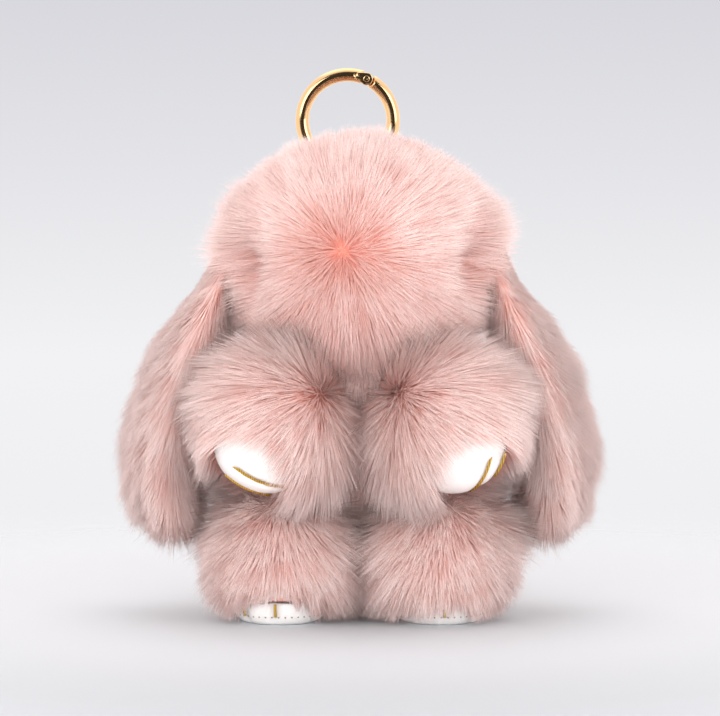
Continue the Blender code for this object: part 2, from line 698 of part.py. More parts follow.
def strap():
    """The strap's eye round the ring, its sewn-in tail and the button that holds the tail."""
    eye_outer = EYE_RADIUS + STRAP_THICKNESS
    eye_z = RING_Z - RING_RADIUS
    bend = Matrix.Translation((RING_X, RING_Y, STRAP_BEND_Z))
    eye_up = eye_z - STRAP_BEND_Z

    curve = bpy.data.curves.new("hanging_strap", "CURVE")
    curve.dimensions = "2D"
    curve.fill_mode = "BOTH"
    curve.extrude = STRAP_WIDTH / 2
    outline = []
    for a in even_angles(STEM_SPREAD, 2 * math.pi - STEM_SPREAD, ROUND_STEPS):
        outline.append((eye_outer * math.sin(a), eye_up - eye_outer * math.cos(a)))
    for x, y in ((-1.0, 0.3), (-0.7, -0.7), (0.7, -0.7), (1.0, 0.3)):
        outline.append((STRAP_THICKNESS * x, STRAP_THICKNESS * y))
    hole = []
    for a in even_angles(0.0, 2 * math.pi, ROUND_STEPS)[:-1]:
        hole.append((EYE_RADIUS * math.sin(a), eye_up - EYE_RADIUS * math.cos(a)))
    for points in (outline, hole):
        spline = curve.splines.new("POLY")
        spline.points.add(len(points) - 1)
        spline.use_cyclic_u = True
        for point, place in zip(spline.points, points):
            point.co = (*place, 0, 1)
    mesh = mesh_of_curve(curve, "hanging_strap")
    # The outline was drawn with X as depth and Y as height.
    mesh.transform(Matrix(((0, 0, 1, 0), (1, 0, 0, 0), (0, 1, 0, 0), (0, 0, 0, 1))))
    add_piece("hanging_strap", mesh, "strap_leather", bend)

    inward = bend @ Matrix.Rotation(-STRAP_TAIL_LEAN, 4, "X")
    tail_size = Vector((STRAP_WIDTH, 2 * STRAP_THICKNESS, STRAP_TAIL_LENGTH))
    tail_depth = STRAP_THICKNESS + GAP + STRAP_TAIL_LENGTH / 2
    tail_place = inward @ Matrix.Translation((0, 0, -tail_depth))
    add_piece("strap_tail", box_mesh("strap_tail", tail_size), "strap_leather", tail_place)
    clear = Vector((2 * GAP, 2 * GAP, 2 * GAP))
    slot = add_cutter("tail_slot", box_mesh("tail_slot", tail_size + clear), tail_place)

    button_depth = tail_depth + STRAP_TAIL_LENGTH / 2 + GAP + BUTTON_THICKNESS / 2
    button_turn = Matrix.Rotation(math.pi / 2, 4, "X")
    button_place = inward @ Matrix.Translation((0, 0, -button_depth)) @ button_turn
    button_mesh = rod_mesh("strap_button", BUTTON_RADIUS, BUTTON_THICKNESS)
    add_piece("strap_button", button_mesh, "button_plastic", button_place)
    seat_mesh = rod_mesh("button_seat", BUTTON_RADIUS + GAP, BUTTON_THICKNESS + 2 * GAP)
    seat = add_cutter("button_seat", seat_mesh, button_place)
    return slot, seat


# Heights that follow from the sizes above


def lowest_below_shoulder():
    """How far the arm's fur sleeve or pad reaches below the shoulder."""
    profile = capsule_profile(ARM_ROOT_RADIUS, ARM_RADIUS, ARM_REACH, math.pi)
    return max(-z * math.sin(ARM_DIP) + r * math.cos(ARM_DIP) for r, z in profile)


HIP_Z = LEG_RADIUS + LEG_REACH
SHOULDER_Z = HIP_Z + LEG_RADIUS + ARM_LEG_SPACE + lowest_below_shoulder()
NECK_RISE = HEAD_HALF_HEIGHT * math.sqrt(1 - (NECK_RADIUS / HEAD_RADIUS) ** 2)
HEAD_Z = NECK_Z + NECK_RISE + GAP
EAR_ROOT_Z = HEAD_Z + EAR_ROOT_RISE
HEAD_HALF_WIDTH_AT_EARS = HEAD_RADIUS * math.sqrt(1 - (EAR_ROOT_RISE / HEAD_HALF_HEIGHT) ** 2)
EAR_X = HEAD_HALF_WIDTH_AT_EARS + EAR_ROOT_RADIUS + EAR_HEAD_SPACE
CROWN_Z = HEAD_Z + HEAD_HALF_HEIGHT * math.sqrt(1 - ((RING_Y - HEAD_Y) / HEAD_RADIUS) ** 2)
CROWN_SLOPE_Y = (RING_Y - HEAD_Y) / HEAD_RADIUS**2
CROWN_SLOPE_Z = (CROWN_Z - HEAD_Z) / HEAD_HALF_HEIGHT**2
STRAP_TAIL_LEAN = math.atan2(CROWN_SLOPE_Y, CROWN_SLOPE_Z)  # straight into the head
STRAP_BEND_Z = CROWN_Z + (STRAP_THICKNESS + GAP) / math.cos(STRAP_TAIL_LEAN)
EYE_RADIUS = math.hypot(TUBE_RADIUS, TUBE_RADIUS) + STRAP_PLAY  # clears the knuckle's corners
RING_Z = STRAP_BEND_Z + STRAP_STEM + EYE_RADIUS + STRAP_THICKNESS + RING_RADIUS

clear_scene()
bunny = new_collection("plush_bunny_charm")
cutters = new_collection("cutters")

head_shell, head_stuffing = head()
torso_shell, torso_stuffing = torso()
for side_name, side_sign in (("left", -1), ("right", 1)):
    ear(side_name, side_sign)
    for socket in (arm(side_name, side_sign), leg(side_name, side_sign)):
        combine(torso_shell, socket)
        combine(torso_stuffing, socket)
tail()
ring()
strap_slot, button_seat = strap()
combine(head_shell, strap_slot)
combine(head_stuffing, strap_slot)
combine(head_stuffing, button_seat)
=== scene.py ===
"""The looks of the plush bunny bag charm.

Every soft part is a pelt, a closed skin just inside the part's own size, and a coat of fur
strands that grow from it. The paws end in white leatherette pads with gold toe threads, and a
polished gold spring-gate ring hangs from a leather loop behind the crown.
"""

import json
import math

import bpy
import numpy as np
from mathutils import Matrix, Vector


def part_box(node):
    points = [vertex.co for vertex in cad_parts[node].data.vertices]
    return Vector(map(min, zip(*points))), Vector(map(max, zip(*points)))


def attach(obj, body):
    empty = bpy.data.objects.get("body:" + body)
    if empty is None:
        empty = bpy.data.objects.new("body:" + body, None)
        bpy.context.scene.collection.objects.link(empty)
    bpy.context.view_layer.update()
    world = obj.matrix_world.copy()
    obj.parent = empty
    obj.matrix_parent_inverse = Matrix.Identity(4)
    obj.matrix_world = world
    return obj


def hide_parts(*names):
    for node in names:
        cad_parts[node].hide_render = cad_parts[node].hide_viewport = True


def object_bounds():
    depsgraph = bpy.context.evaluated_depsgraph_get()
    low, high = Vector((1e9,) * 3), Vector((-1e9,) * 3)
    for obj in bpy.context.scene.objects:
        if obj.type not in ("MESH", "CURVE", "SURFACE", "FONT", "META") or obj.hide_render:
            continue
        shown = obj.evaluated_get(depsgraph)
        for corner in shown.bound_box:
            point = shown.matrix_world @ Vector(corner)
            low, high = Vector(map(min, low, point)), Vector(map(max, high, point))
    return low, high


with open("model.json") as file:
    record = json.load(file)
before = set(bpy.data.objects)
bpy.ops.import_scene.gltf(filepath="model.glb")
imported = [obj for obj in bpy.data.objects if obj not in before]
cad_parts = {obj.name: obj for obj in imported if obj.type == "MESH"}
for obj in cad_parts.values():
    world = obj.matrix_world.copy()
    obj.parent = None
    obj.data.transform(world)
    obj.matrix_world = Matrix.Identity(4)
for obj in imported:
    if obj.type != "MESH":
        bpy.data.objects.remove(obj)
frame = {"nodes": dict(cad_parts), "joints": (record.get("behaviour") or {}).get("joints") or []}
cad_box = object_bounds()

MM = 0.001
UP = np.array([0.0, 0.0, 1.0])
SIDEWAYS = np.array([1.0, 0.0, 0.0])
JOINTS = {joint["name"]: np.array(joint["pos_m"]) for joint in frame["joints"]}
SIDES = {"left": -1.0, "right": 1.0}

# Coat
COAT_HEIGHT = 8.6 * MM  # of the combed fur above the pelt
COAT_DENSITY = 6.4 / MM**2  # strands to a square metre of pelt
STRAND_RADIUS = 0.135 * MM  # at the root
STRANDS_A_PIECE = 48000  # keeps each piece of coat under 200,000 triangles
PELT_INSET = 0.6 * MM  # of every pelt inside its part's own surface
FLOOR_CLEAR = 0.3 * MM
LONGEST_STRAND = 21.0 * MM
COAT_SPARE = 12.4 * MM  # the furthest that fur stands outside the part's own box
TUFT_SIZE = 5.5 * MM  # of the small locks that the fur gathers in
LOCK_SIZE = 13.0 * MM  # of the large ones
GUARD_SHARE = 0.06  # of the strands that are long guard hairs
LIT_AS_PELT = 0.75  # how much of a strand's shading normal is the pelt's

# Head
HEAD_HALF_HEIGHT = 32.5 * MM
MUZZLE_X = -5.5 * MM
MUZZLE_RISE = 1.0 * MM  # above the head's middle
MUZZLE_PUFF = 4.0 * MM
MUZZLE_SPREAD = 0.62  # radians from the muzzle's middle
SOCKET_TURN = math.radians(53)  # of the sunken fur beside the muzzle, from straight ahead
SOCKET_DEPTH = 8.0 * MM
SOCKET_DROP = 3.0 * MM  # below the head's middle
SOCKET_HEIGHT = 6.0 * MM
WHORL_SHADE_RADIUS = 9.0 * MM  # of the painted shade round the muzzle's middle: deeper coral where the fur parts

# Limbs, as in the part
ARM_ROOT_RADIUS = 12.0 * MM
ARM_RADIUS = 21.0 * MM
ARM_REACH = 18.0 * MM
ARM_DIP = math.radians(39)
ARM_YAW = math.radians(25)
ARM_PAD_RADIUS = 14.5 * MM
LEG_RADIUS = 18.5 * MM
LEG_REACH = 3.0 * MM
LEG_PAD_RADIUS = 15.0 * MM
SOLE_FLAT_RADIUS = 10.5 * MM
LIMB_ROOM = 0.8 * MM  # between a limb and the hollow it turns in

# Paw pads
PAD_WALL = 2.0 * MM
PAD_PUFF = 1.7 * MM
PAD_GAP = 0.4 * MM
GROOVE_WIDTH = 1.5 * MM
HAND_TOE_ANGLES = {
    "left": (math.radians(4), math.radians(29)),
    "right": (math.radians(16), math.radians(35)),
}
HAND_TOE_TURN = {"left": math.radians(-50), "right": 0.0}
FOOT_TOE_ANGLES = (math.radians(4), math.radians(48))
STITCH_RADIUS = 0.32 * MM
STITCH_SPACING = 2.1 * MM
STITCH_EDGE = 0.9  # how far out a hand's stitches are, as a share of the way to the rim
SOLE_STITCH_RISE = math.radians(38)  # round the sole's edge
SOLE_BULGE = 0.8 * MM  # of the sole's edge past its rim
SOLE_PINCH = 1.3 * MM  # depth of the grooves between the toes

# Ears
EAR_LENGTH = 98.0 * MM
EAR_SPREAD = 23.0 * MM
EAR_SWEEP = 6.0 * MM
EAR_ROOT_RADIUS = 3.3 * MM
EAR_HALF_THICKNESS = 7.4 * MM
EAR_HALF_WIDTH = 20.3 * MM
EAR_TOP = -0.036  # where the ear begins above its root, as a share of its length
EAR_ROUNDING = 0.93  # where the ear's end starts to round off

# Ring
RING_RADIUS = 14.8 * MM
TUBE_RADIUS = 2.2 * MM
HINGE_ANGLE = math.radians(65.7)
GATE_TIP_ANGLE = math.radians(-20)
CHEEK_RADIUS = 2.1 * MM
CHEEK_INSIDE = 1.0 * MM  # half the slot that the gate's tang turns in
TANG_RADIUS = 1.75 * MM
TANG_HALF_WIDTH = 0.65 * MM
TUBE_SOFTENING = 0.35 * MM
DIMPLE_DEPTH = 0.5 * MM
DIMPLE_RADIUS = 0.55 * MM

# Strap
STRAP_WIDTH = 6.5 * MM
STRAP_THICKNESS = 1.1 * MM
STRAP_SQUARENESS = 0.35  # power of the cosine that rounds the band's section; 1 is an ellipse


# Meshes


def unit(vectors):
    """Each vector divided by its own length."""
    return vectors / np.maximum(np.linalg.norm(vectors, axis=-1, keepdims=True), 1e-12)


def smooth_run(t, stops, values):
    """A cubic between each two stops, whose slope at a stop comes from its neighbours."""
    stops, values = np.array(stops, float), np.array(values, float)
    slopes = np.gradient(values, stops, axis=0)
    i = np.clip(np.searchsorted(stops, t, side="right") - 1, 0, len(stops) - 2)
    span = (stops[i + 1] - stops[i])[:, None]
    s = (t - stops[i])[:, None] / span
    from_start = (1 + 2 * s) * (1 - s) ** 2 * values[i] + s * (1 - s) ** 2 * span * slopes[i]
    from_end = s * s * (3 - 2 * s) * values[i + 1] - s * s * (1 - s) * span * slopes[i + 1]
    return from_start + from_end


def ease(x, low, high):
    """0 below low and 1 above high, and 3s^2 - 2s^3 between them."""
    s = np.clip((x - low) / (high - low), 0, 1)
    return s * s * (3 - 2 * s)


def bell(x, width):
    """exp(-(x / width)^2)."""
    return np.exp(-((x / width) ** 2))


def turns(count):
    """Angles spread evenly round a full turn."""
    return np.linspace(0, 2 * math.pi, count, endpoint=False)


def points_of(x, y, z):
    """Points from three coordinates, whose shapes need only fit each other."""
    return np.stack(np.broadcast_arrays(x, y, z), axis=-1)


def fill_mesh(mesh, points, corners, sides):
    """Put points (n, 3) and faces with the same number of sides into a mesh."""
    faces = len(corners) // sides
    mesh.vertices.add(len(points))
    mesh.vertices.foreach_set("co", points.astype(np.float32).ravel())
    mesh.loops.add(len(corners))
    mesh.loops.foreach_set("vertex_index", corners.astype(np.int32))
    mesh.polygons.add(faces)
    mesh.polygons.foreach_set("loop_start", np.arange(faces, dtype=np.int32) * sides)
    mesh.update(calc_edges=True)


def place(name, mesh, body, finish, stands_for=()):
    """Make the mesh a piece that rides on a body."""
    if not mesh.has_custom_normals:
        mesh.shade_smooth()
    mesh.materials.append(finish)
    obj = bpy.data.objects.new(name, mesh)
    bpy.context.scene.collection.objects.link(obj)
    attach(obj, body)
    if stands_for:
        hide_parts(*stands_for)
    return obj


def closed_skin(name, rings):
    """A skin through rings of points, rings[row, column], whose two ends close on their middles."""
    rows, columns = rings.shape[:2]
    points = np.concatenate([rings.reshape(-1, 3), rings[0].mean(0)[None], rings[-1].mean(0)[None]])
    here = np.arange(rows * columns).reshape(rows, columns)
    beside = np.roll(here, -1, axis=1)
    quads = np.stack([here[:-1], beside[:-1], beside[1:], here[1:]], axis=-1).reshape(-1, 4)
    first, last = rows * columns, rows * columns + 1
    top = np.stack([np.full(columns, first), beside[0], here[0]], axis=-1)
    bottom = np.stack([np.full(columns, last), here[-1], beside[-1]], axis=-1)
    halves = np.concatenate([quads[:, [0, 1, 2]], quads[:, [0, 2, 3]], top, bottom])
    a, b, c = (points[halves[:, k]] for k in range(3))
    if np.einsum("ij,ij->", a, np.cross(b, c)) < 0:
        quads, top, bottom = quads[:, ::-1], top[:, ::-1], bottom[:, ::-1]
    mesh = bpy.data.meshes.new(name)
    mesh.from_pydata(points.tolist(), [], quads.tolist() + top.tolist() + bottom.tolist())
    return mesh


def ball_grid(rows, columns, last=math.pi):
    """Directions of a sphere: angle down from +Z by row, round Z by column, poles left out."""
    down = np.linspace(0.02, last, rows)[:, None]
    around = turns(columns)
    return points_of(np.sin(down) * np.cos(around), np.sin(down) * np.sin(around), np.cos(down))


# Where limbs and other parts are


def limb_frame(direction):
    """Columns x, y, z of a limb's own frame, whose -z runs along the direction."""
    z = -unit(direction)
    x = unit(np.cross(np.array([0.0, 1.0, 0.0]), z))
    return np.stack([x, np.cross(z, x), z], axis=1)


def arm_frame(sign):
    """The arm's pivot and its own frame, as the part has them."""
    side = "left" if sign < 0 else "right"
    level, drop = math.cos(ARM_DIP), math.sin(ARM_DIP)
    way = np.array([sign * level * math.sin(ARM_YAW), -level * math.cos(ARM_YAW), -drop])
    return JOINTS[f"{side}_arm_lift"], limb_frame(way)


def leg_frame(sign):
    """The leg's pivot and its own frame."""
    side = "left" if sign < 0 else "right"
    return JOINTS[f"{side}_leg_kick"], np.eye(3)


def capsule_gap(points, pivot, axes, root, belly, reach):
    """How far points are outside a tapered capsule, and the way straight out of it."""
    axis = -axes[:, 2]
    along = np.clip((points - pivot) @ axis / reach, 0, 1)
    out = points - pivot - along[:, None] * reach * axis
    size = np.linalg.norm(out, axis=-1)
    return size - (root + (belly - root) * along), out / np.maximum(size, 1e-9)[:, None]


def limbs():
    """Each limb as a tapered capsule: pivot, axes, radius at the root and belly, and reach."""
    found = []
    for sign in SIDES.values():
        found.append((*arm_frame(sign), ARM_ROOT_RADIUS, ARM_RADIUS, ARM_REACH))
        found.append((*leg_frame(sign), LEG_RADIUS, LEG_RADIUS, LEG_REACH))
    return found


# Coat


def waves(points, size, seed, count=18):
    """A random swell of about the given size, which is a sum of seeded cosines, and its slope."""
    rng = np.random.default_rng(seed)
    way = unit(rng.normal(size=(count, 3)))
    pitch = 2 * math.pi / (size * rng.uniform(0.7, 1.5, count))
    phase = points @ (way * pitch[:, None]).T + rng.uniform(0, 2 * math.pi, count)
    scale = math.sqrt(2 / count)
    return np.cos(phase).sum(1) * scale, -np.sin(phase) @ way * scale


def scatter(rings, density, rng):
    """Random points spread evenly over rings of points, with the surface's outward normals."""
    wrapped = np.concatenate([rings, rings[:, :1]], axis=1)
    along = np.gradient(rings, axis=0)
    around = (np.roll(rings, -1, axis=1) - np.roll(rings, 1, axis=1)) / 2
    normals = unit(np.cross(along, around))
    outward = rings - rings.mean(axis=(0, 1))
    if (normals * outward).sum() < 0:
        normals = -normals
    normals = np.concatenate([normals, normals[:, :1]], axis=1)
    p00, p01, p10, p11 = wrapped[:-1, :-1], wrapped[:-1, 1:], wrapped[1:, :-1], wrapped[1:, 1:]
    cell = np.linalg.norm(np.cross(p11 - p00, p10 - p01), axis=-1) / 2
    count = int(cell.sum() * density)
    chosen = rng.choice(cell.size, count, p=(cell / cell.sum()).ravel())
    row, column = np.divmod(chosen, cell.shape[1])
    s, t = rng.random((2, count, 1))

    def blend(grid):
        """Values between four neighbours in the grid, weighed by how near each one is."""
        near = grid[row, column] * (1 - t) + grid[row, column + 1] * t
        far = grid[row + 1, column] * (1 - t) + grid[row + 1, column + 1] * t
        return near * (1 - s) + far * s

    return blend(wrapped), unit(blend(normals))


def strand_mesh(name, root, tip, normal, radius, shade):
    """Each strand is a closed three-sided spike from its root to its tip. Its shading normals are
    mostly the pelt's, so that light falls on the coat as on one soft mass."""
    count = len(root)
    way = unit(tip - root)
    helper = np.where(np.abs(way[:, 2:]) < 0.8, UP, SIDEWAYS)
    a = unit(np.cross(helper, way))
    b = np.cross(way, a)
    roll = turns(3) + shade[:, None] * 40
    aside = np.cos(roll)[..., None] * a[:, None] + np.sin(roll)[..., None] * b[:, None]
    base = root[:, None] + radius[:, None, None] * aside
    points = np.concatenate([base, tip[:, None]], axis=1).reshape(-1, 3)
    spike = np.array([0, 1, 3, 1, 2, 3, 2, 0, 3, 2, 1, 0])
    corners = (spike[None] + 4 * np.arange(count)[:, None]).ravel()
    mesh = bpy.data.meshes.new(name)
    fill_mesh(mesh, points, corners, 3)
    along = np.tile(np.array([0, 0, 0, 1], np.float32), count)
    tone = np.repeat(shade.astype(np.float32), 4)
    mesh.attributes.new("tip", "FLOAT", "POINT").data.foreach_set("value", along)
    mesh.attributes.new("shade", "FLOAT", "POINT").data.foreach_set("value", tone)
    mesh.shade_smooth()
    side = unit(LIT_AS_PELT * normal[:, None] + (1 - LIT_AS_PELT) * aside)
    lit = np.concatenate([side, normal[:, None]], axis=1)
    mesh.normals_split_custom_set_from_vertices(lit.reshape(-1, 3).astype(np.float32))
    baked = mesh.uv_layers.new(name="OFBake")
    uv = np.stack([np.clip(tone, 0.01, 0.99), 0.02 + 0.96 * along], axis=-1)[corners]
    baked.data.foreach_set("uv", uv.astype(np.float32).ravel())
    return mesh


def coat(name, body, rings, comb, seed, density=COAT_DENSITY):
    """Fur over a pelt.

    comb gives, for roots and their normals, the way the fur lies, how flat it lies (0 upright),
    its height over the pelt, how coral it is (a pale base tint plus painted shade in hollows,
    partings and hidden sides), and the share of roots to keep. A strand runs along
    normal + flatness * way, long enough to reach that height. Its tip drifts towards its
    neighbours' on two random swells, which gathers the fur in soft locks, and it is cut where it
    would pass the floor or stand too far outside the part's box.
    """
    rng = np.random.default_rng(seed)
    root, normal = scatter(rings, density, rng)
    way, flat, height, coral, keep = comb(root, normal)
    kept = rng.random(len(root)) < keep
    root, normal, way, flat, height, coral = (
        values[kept] for values in (root, normal, way, flat, height, coral)
    )
    way = way - (way * normal).sum(1)[:, None] * normal
    way = way / np.maximum(np.linalg.norm(way, axis=1), 0.35)[:, None]
    jitter = rng.normal(size=root.shape) * 0.13
    lie = unit(normal + way * flat[:, None] + jitter)
    reach = np.minimum(height / np.maximum((lie * normal).sum(1), 0.45), LONGEST_STRAND)
    tuft, tuft_pull = waves(root, TUFT_SIZE, seed + 1)
    lock, lock_pull = waves(root, LOCK_SIZE, seed + 2)
    guard = rng.random(len(root)) < GUARD_SHARE
    length = reach * rng.uniform(0.72, 1.04, len(root)) * (1 + 0.05 * lock + 0.03 * tuft)
    length = np.where(guard, length * 1.16, length)
    tip = root + lie * length[:, None] + (0.6 * tuft_pull + 0.8 * lock_pull) * MM
    low, high = np.array(cad_box[0]) - COAT_SPARE, np.array(cad_box[1]) + COAT_SPARE
    low[2] = FLOOR_CLEAR
    step = tip - root
    room = np.where(step < 0, low - root, high - root) / np.where(step < 0, -1, 1)
    short = np.clip((room / np.maximum(np.abs(step), 1e-9)).min(axis=1), 0, 1)
    tip = root + step * short[:, None]
    radius = STRAND_RADIUS * rng.uniform(0.75, 1.2, len(root)) * np.where(guard, 0.8, 1.0)
    # a strand's shade: the comb's coral, which carries painted shade, with random tone
    shade = np.clip(coral + rng.normal(size=len(root)) * 0.09 - 0.05 * tuft - 0.05 * lock, 0, 1)
    whole = short * length > 2 * MM
    parts = np.array_split(np.flatnonzero(whole), math.ceil(whole.sum() / STRANDS_A_PIECE))
    for k, part in enumerate(parts):
        piece = f"{name}_coat_{k + 1}"
        mesh = strand_mesh(piece, root[part], tip[part], normal[part], radius[part], shade[part])
        place(piece, mesh, body, FUR)


def pelt(name, body, rings, nodes):
    """The closed skin under the coat, which stands for its part's fur and stuffing."""
    obj = place(name, closed_skin(name, rings), body, UNDERFUR, nodes)
    return obj


# Finishes


def linear(code):
    """A hex colour's channels, turned from sRGB to linear."""
    srgb = np.array([int(code[i : i + 2], 16) for i in (1, 3, 5)]) / 255
    channels = np.where(srgb <= 0.04045, srgb / 12.92, ((srgb + 0.055) / 1.055) ** 2.4)
    return (*channels.tolist(), 1.0)


def node(tree, kind, inputs=None, **settings):
    """Add a node with its settings, and its inputs as values or as other nodes' outputs."""
    made = tree.nodes.new("ShaderNode" + kind)
    for key, value in settings.items():
        setattr(made, key, value)
    for key, value in (inputs or {}).items():
        if isinstance(value, bpy.types.NodeSocket):
            tree.links.new(value, made.inputs[key])
        else:
            made.inputs[key].default_value = value
    return made


def finish_of(name, **values):
    """A material and its shader, with constants on the shader's own sockets."""
    made = bpy.data.materials.new(name)
    made.use_nodes = True
    shader = made.node_tree.nodes["Principled BSDF"]
    for key, value in values.items():
        shader.inputs[key.replace("_", " ")].default_value = value
    return made, made.node_tree, shader


def mottled(name, pattern, dark, light, relief=None, **values):
    """A material whose colour runs from dark to light with a pattern, given as its kind, its size,
    the output to use and any other inputs. The pattern also raises the surface, by the strength
    and the height in relief. The pattern and its coordinates come back with the material."""
    made, tree, shader = finish_of(name, **values)
    kind, size, output, more = pattern
    where = node(tree, "TexCoord").outputs["Object"]
    grain = node(tree, kind, {"Vector": where, "Scale": 1 / size, **more}).outputs[output]
    tone = node(tree, "Mix", {0: grain, 6: linear(dark), 7: linear(light)}, data_type="RGBA")
    tree.links.new(tone.outputs[2], shader.inputs["Base Color"])
    if relief:
        bump = {"Height": grain, "Strength": relief[0], "Distance": relief[1]}
        tree.links.new(node(tree, "Bump", bump).outputs[0], shader.inputs["Normal"])
    return made, grain, where


def plush_fur():
    """Dyed rex-like plush: each strand runs from a coral root to a pale pink tip, and is drawn
    towards deep coral by its shade attribute, which holds random tone and painted shade.
    """
    made, tree, shader = finish_of(
        "plush_fur",
        Roughness=0.62,
        IOR=1.5,
        Sheen_Weight=0.15,
        Sheen_Tint=linear("#FFE9E4"),
        Sheen_Roughness=0.5,
    )
    tip = node(tree, "Attribute", attribute_name="tip").outputs["Fac"]
    shade = node(tree, "Attribute", attribute_name="shade").outputs["Fac"]
    fade = node(tree, "MapRange", {"Value": tip, "From Min": 0.1, "From Max": 0.8}).outputs[0]
    shaft = {0: fade, 6: linear("#F19E8D"), 7: linear("#FCE4DF")}
    pale = node(tree, "Mix", shaft, data_type="RGBA").outputs[2]
    # mix towards deep coral by the shade attribute: random tone plus painted shade from the combs
    tone_and_painted_shade = node(tree, "Mix", {0: shade, 6: pale, 7: linear("#CC7767")}, data_type="RGBA")
    tree.links.new(tone_and_painted_shade.outputs[2], shader.inputs["Base Color"])
    return made


def white_leatherette():
    """Embossed white polyurethane leatherette: soft gloss over a 0.7 mm pebble grain, with a faint
    6 mm cloudiness in its white."""
    clouds = ("TexNoise", 6 * MM, 0, {"Detail": 3.0})
    gloss = {"Roughness": 0.42, "IOR": 1.5, "Coat_Weight": 0.15, "Coat_Roughness": 0.35}
    made, _, where = mottled("white_leatherette", clouds, "#F4F2F0", "#E6E1DE", **gloss)
    tree = made.node_tree
    pebbles = node(tree, "TexVoronoi", {"Vector": where, "Scale": 1 / (0.7 * MM)}).outputs[0]
    relief = node(tree, "Bump", {"Height": pebbles, "Strength": 0.35, "Distance": 0.06 * MM})
    tree.links.new(relief.outputs[0], tree.nodes["Principled BSDF"].inputs["Normal"])
    return made


def polished_gold():
    """Light gold plate over polished zinc alloy: mirror bright, with a faint 3 mm handling haze."""
    smears = ("TexNoise", 3 * MM, 0, {"Detail": 4.0})
    made, haze, _ = mottled("polished_gold", smears, "#E8BE86", "#F2D2A2", Metallic=1.0)
    tree = made.node_tree
    gloss = node(tree, "MapRange", {"Value": haze, "To Min": 0.07, "To Max": 0.17})
    tree.links.new(gloss.outputs[0], tree.nodes["Principled BSDF"].inputs["Roughness"])
    return made


FUR = plush_fur()
LEATHERETTE = white_leatherette()
GOLD = polished_gold()

# Dense felted underfur and the knitted backing it grows from: matt coral, with 0.5 mm knots
knots = ("TexNoise", 0.5 * MM, 0, {"Detail": 2.0})
relief = (0.6, 0.2 * MM)
UNDERFUR = mottled("underfur", knots, "#E28C79", "#F2AD9D", relief, Roughness=0.9, IOR=1.5)[0]

# Metallised embroidery thread: bright yellow gold. Its twisted plies are drawn 0.7 mm apart, because
# real ones, about half that, are too fine to show
plies = ("TexWave", 2.2 * MM, 1, {"Distortion": 1.5})
relief = (0.5, 0.12 * MM)
GOLD_THREAD = mottled(
    "gold_thread", plies, "#B98A2E", "#F0CD62", relief, Roughness=0.34, Metallic=0.85
)[0]

# Drawn spring wire: grey, with 0.3 mm flecks
flecks = ("TexNoise", 0.3 * MM, 0, {"Detail": 2.0})
STEEL = mottled("spring_steel", flecks, "#8F8F92", "#C2C2C6", Roughness=0.3, Metallic=1.0)[0]

# Dyed split leather of the hanging loop: matt pink, with 0.5 mm pores
pores = ("TexVoronoi", 0.5 * MM, 0, {})
relief = (0.4, 0.08 * MM)
LEATHER = mottled("pink_leather", pores, "#C77F72", "#DB9C8F", relief, Roughness=0.55, IOR=1.5)[0]

# Cast polyester of the hidden button that keeps the strap in: cream, with 2 mm clouds
clouds = ("TexNoise", 2 * MM, 0, {})
PLASTIC = mottled("cast_plastic", clouds, "#E2DCD2", "#F1ECE4", Roughness=0.35, IOR=1.55)[0]

# Waxed sewing thread of the pad seams: warm grey-brown and slightly glossy, with 0.4 mm flecks
flecks = ("TexNoise", 0.4 * MM, 0, {})
WAXED_THREAD = mottled("waxed_thread", flecks, "#8C7B6C", "#B3A08D", Roughness=0.5, IOR=1.5)[0]


# Head


def head_middle():
    """The middle of the head's ellipsoid."""
    low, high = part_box("head_fur")
    return np.array([0.0, (low.y + high.y) / 2, high.z - HEAD_HALF_HEIGHT])


def socket_share(turn, rise, width):
    """How far into either sunken socket: 1 at its middle, by a bell round the head and one up."""
    aside = sum(bell(turn - sign * SOCKET_TURN, width) for sign in SIDES.values())
    return aside * bell(rise + SOCKET_DROP, SOCKET_HEIGHT)


def head_rings():
    """An ellipsoid with a bump where the muzzle is and a hollow on each side of it.

    The bump adds puff * exp(-(angle / spread)^2) along each direction, and each hollow takes
    away depth * exp(-(across / width)^2 - (up / height)^2).
    """
    low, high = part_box("head_fur")
    radius = (high.x - low.x) / 2 - PELT_INSET
    out = ball_grid(64, 96, last=math.radians(168))
    size = np.array([radius, radius, HEAD_HALF_HEIGHT - PELT_INSET])
    muzzle = unit(np.array([MUZZLE_X / radius, -1.0, MUZZLE_RISE / HEAD_HALF_HEIGHT]))
    angle = np.arccos(np.clip(out @ muzzle, -1, 1))
    swell = MUZZLE_PUFF * bell(angle, MUZZLE_SPREAD)
    turn = np.arctan2(out[..., 0], -out[..., 1])
    across, rise = turn - 0.03, out[..., 2] * HEAD_HALF_HEIGHT
    swell = swell - SOCKET_DEPTH * socket_share(across, rise, 0.2)
    return head_middle() + out * (size + swell[..., None])


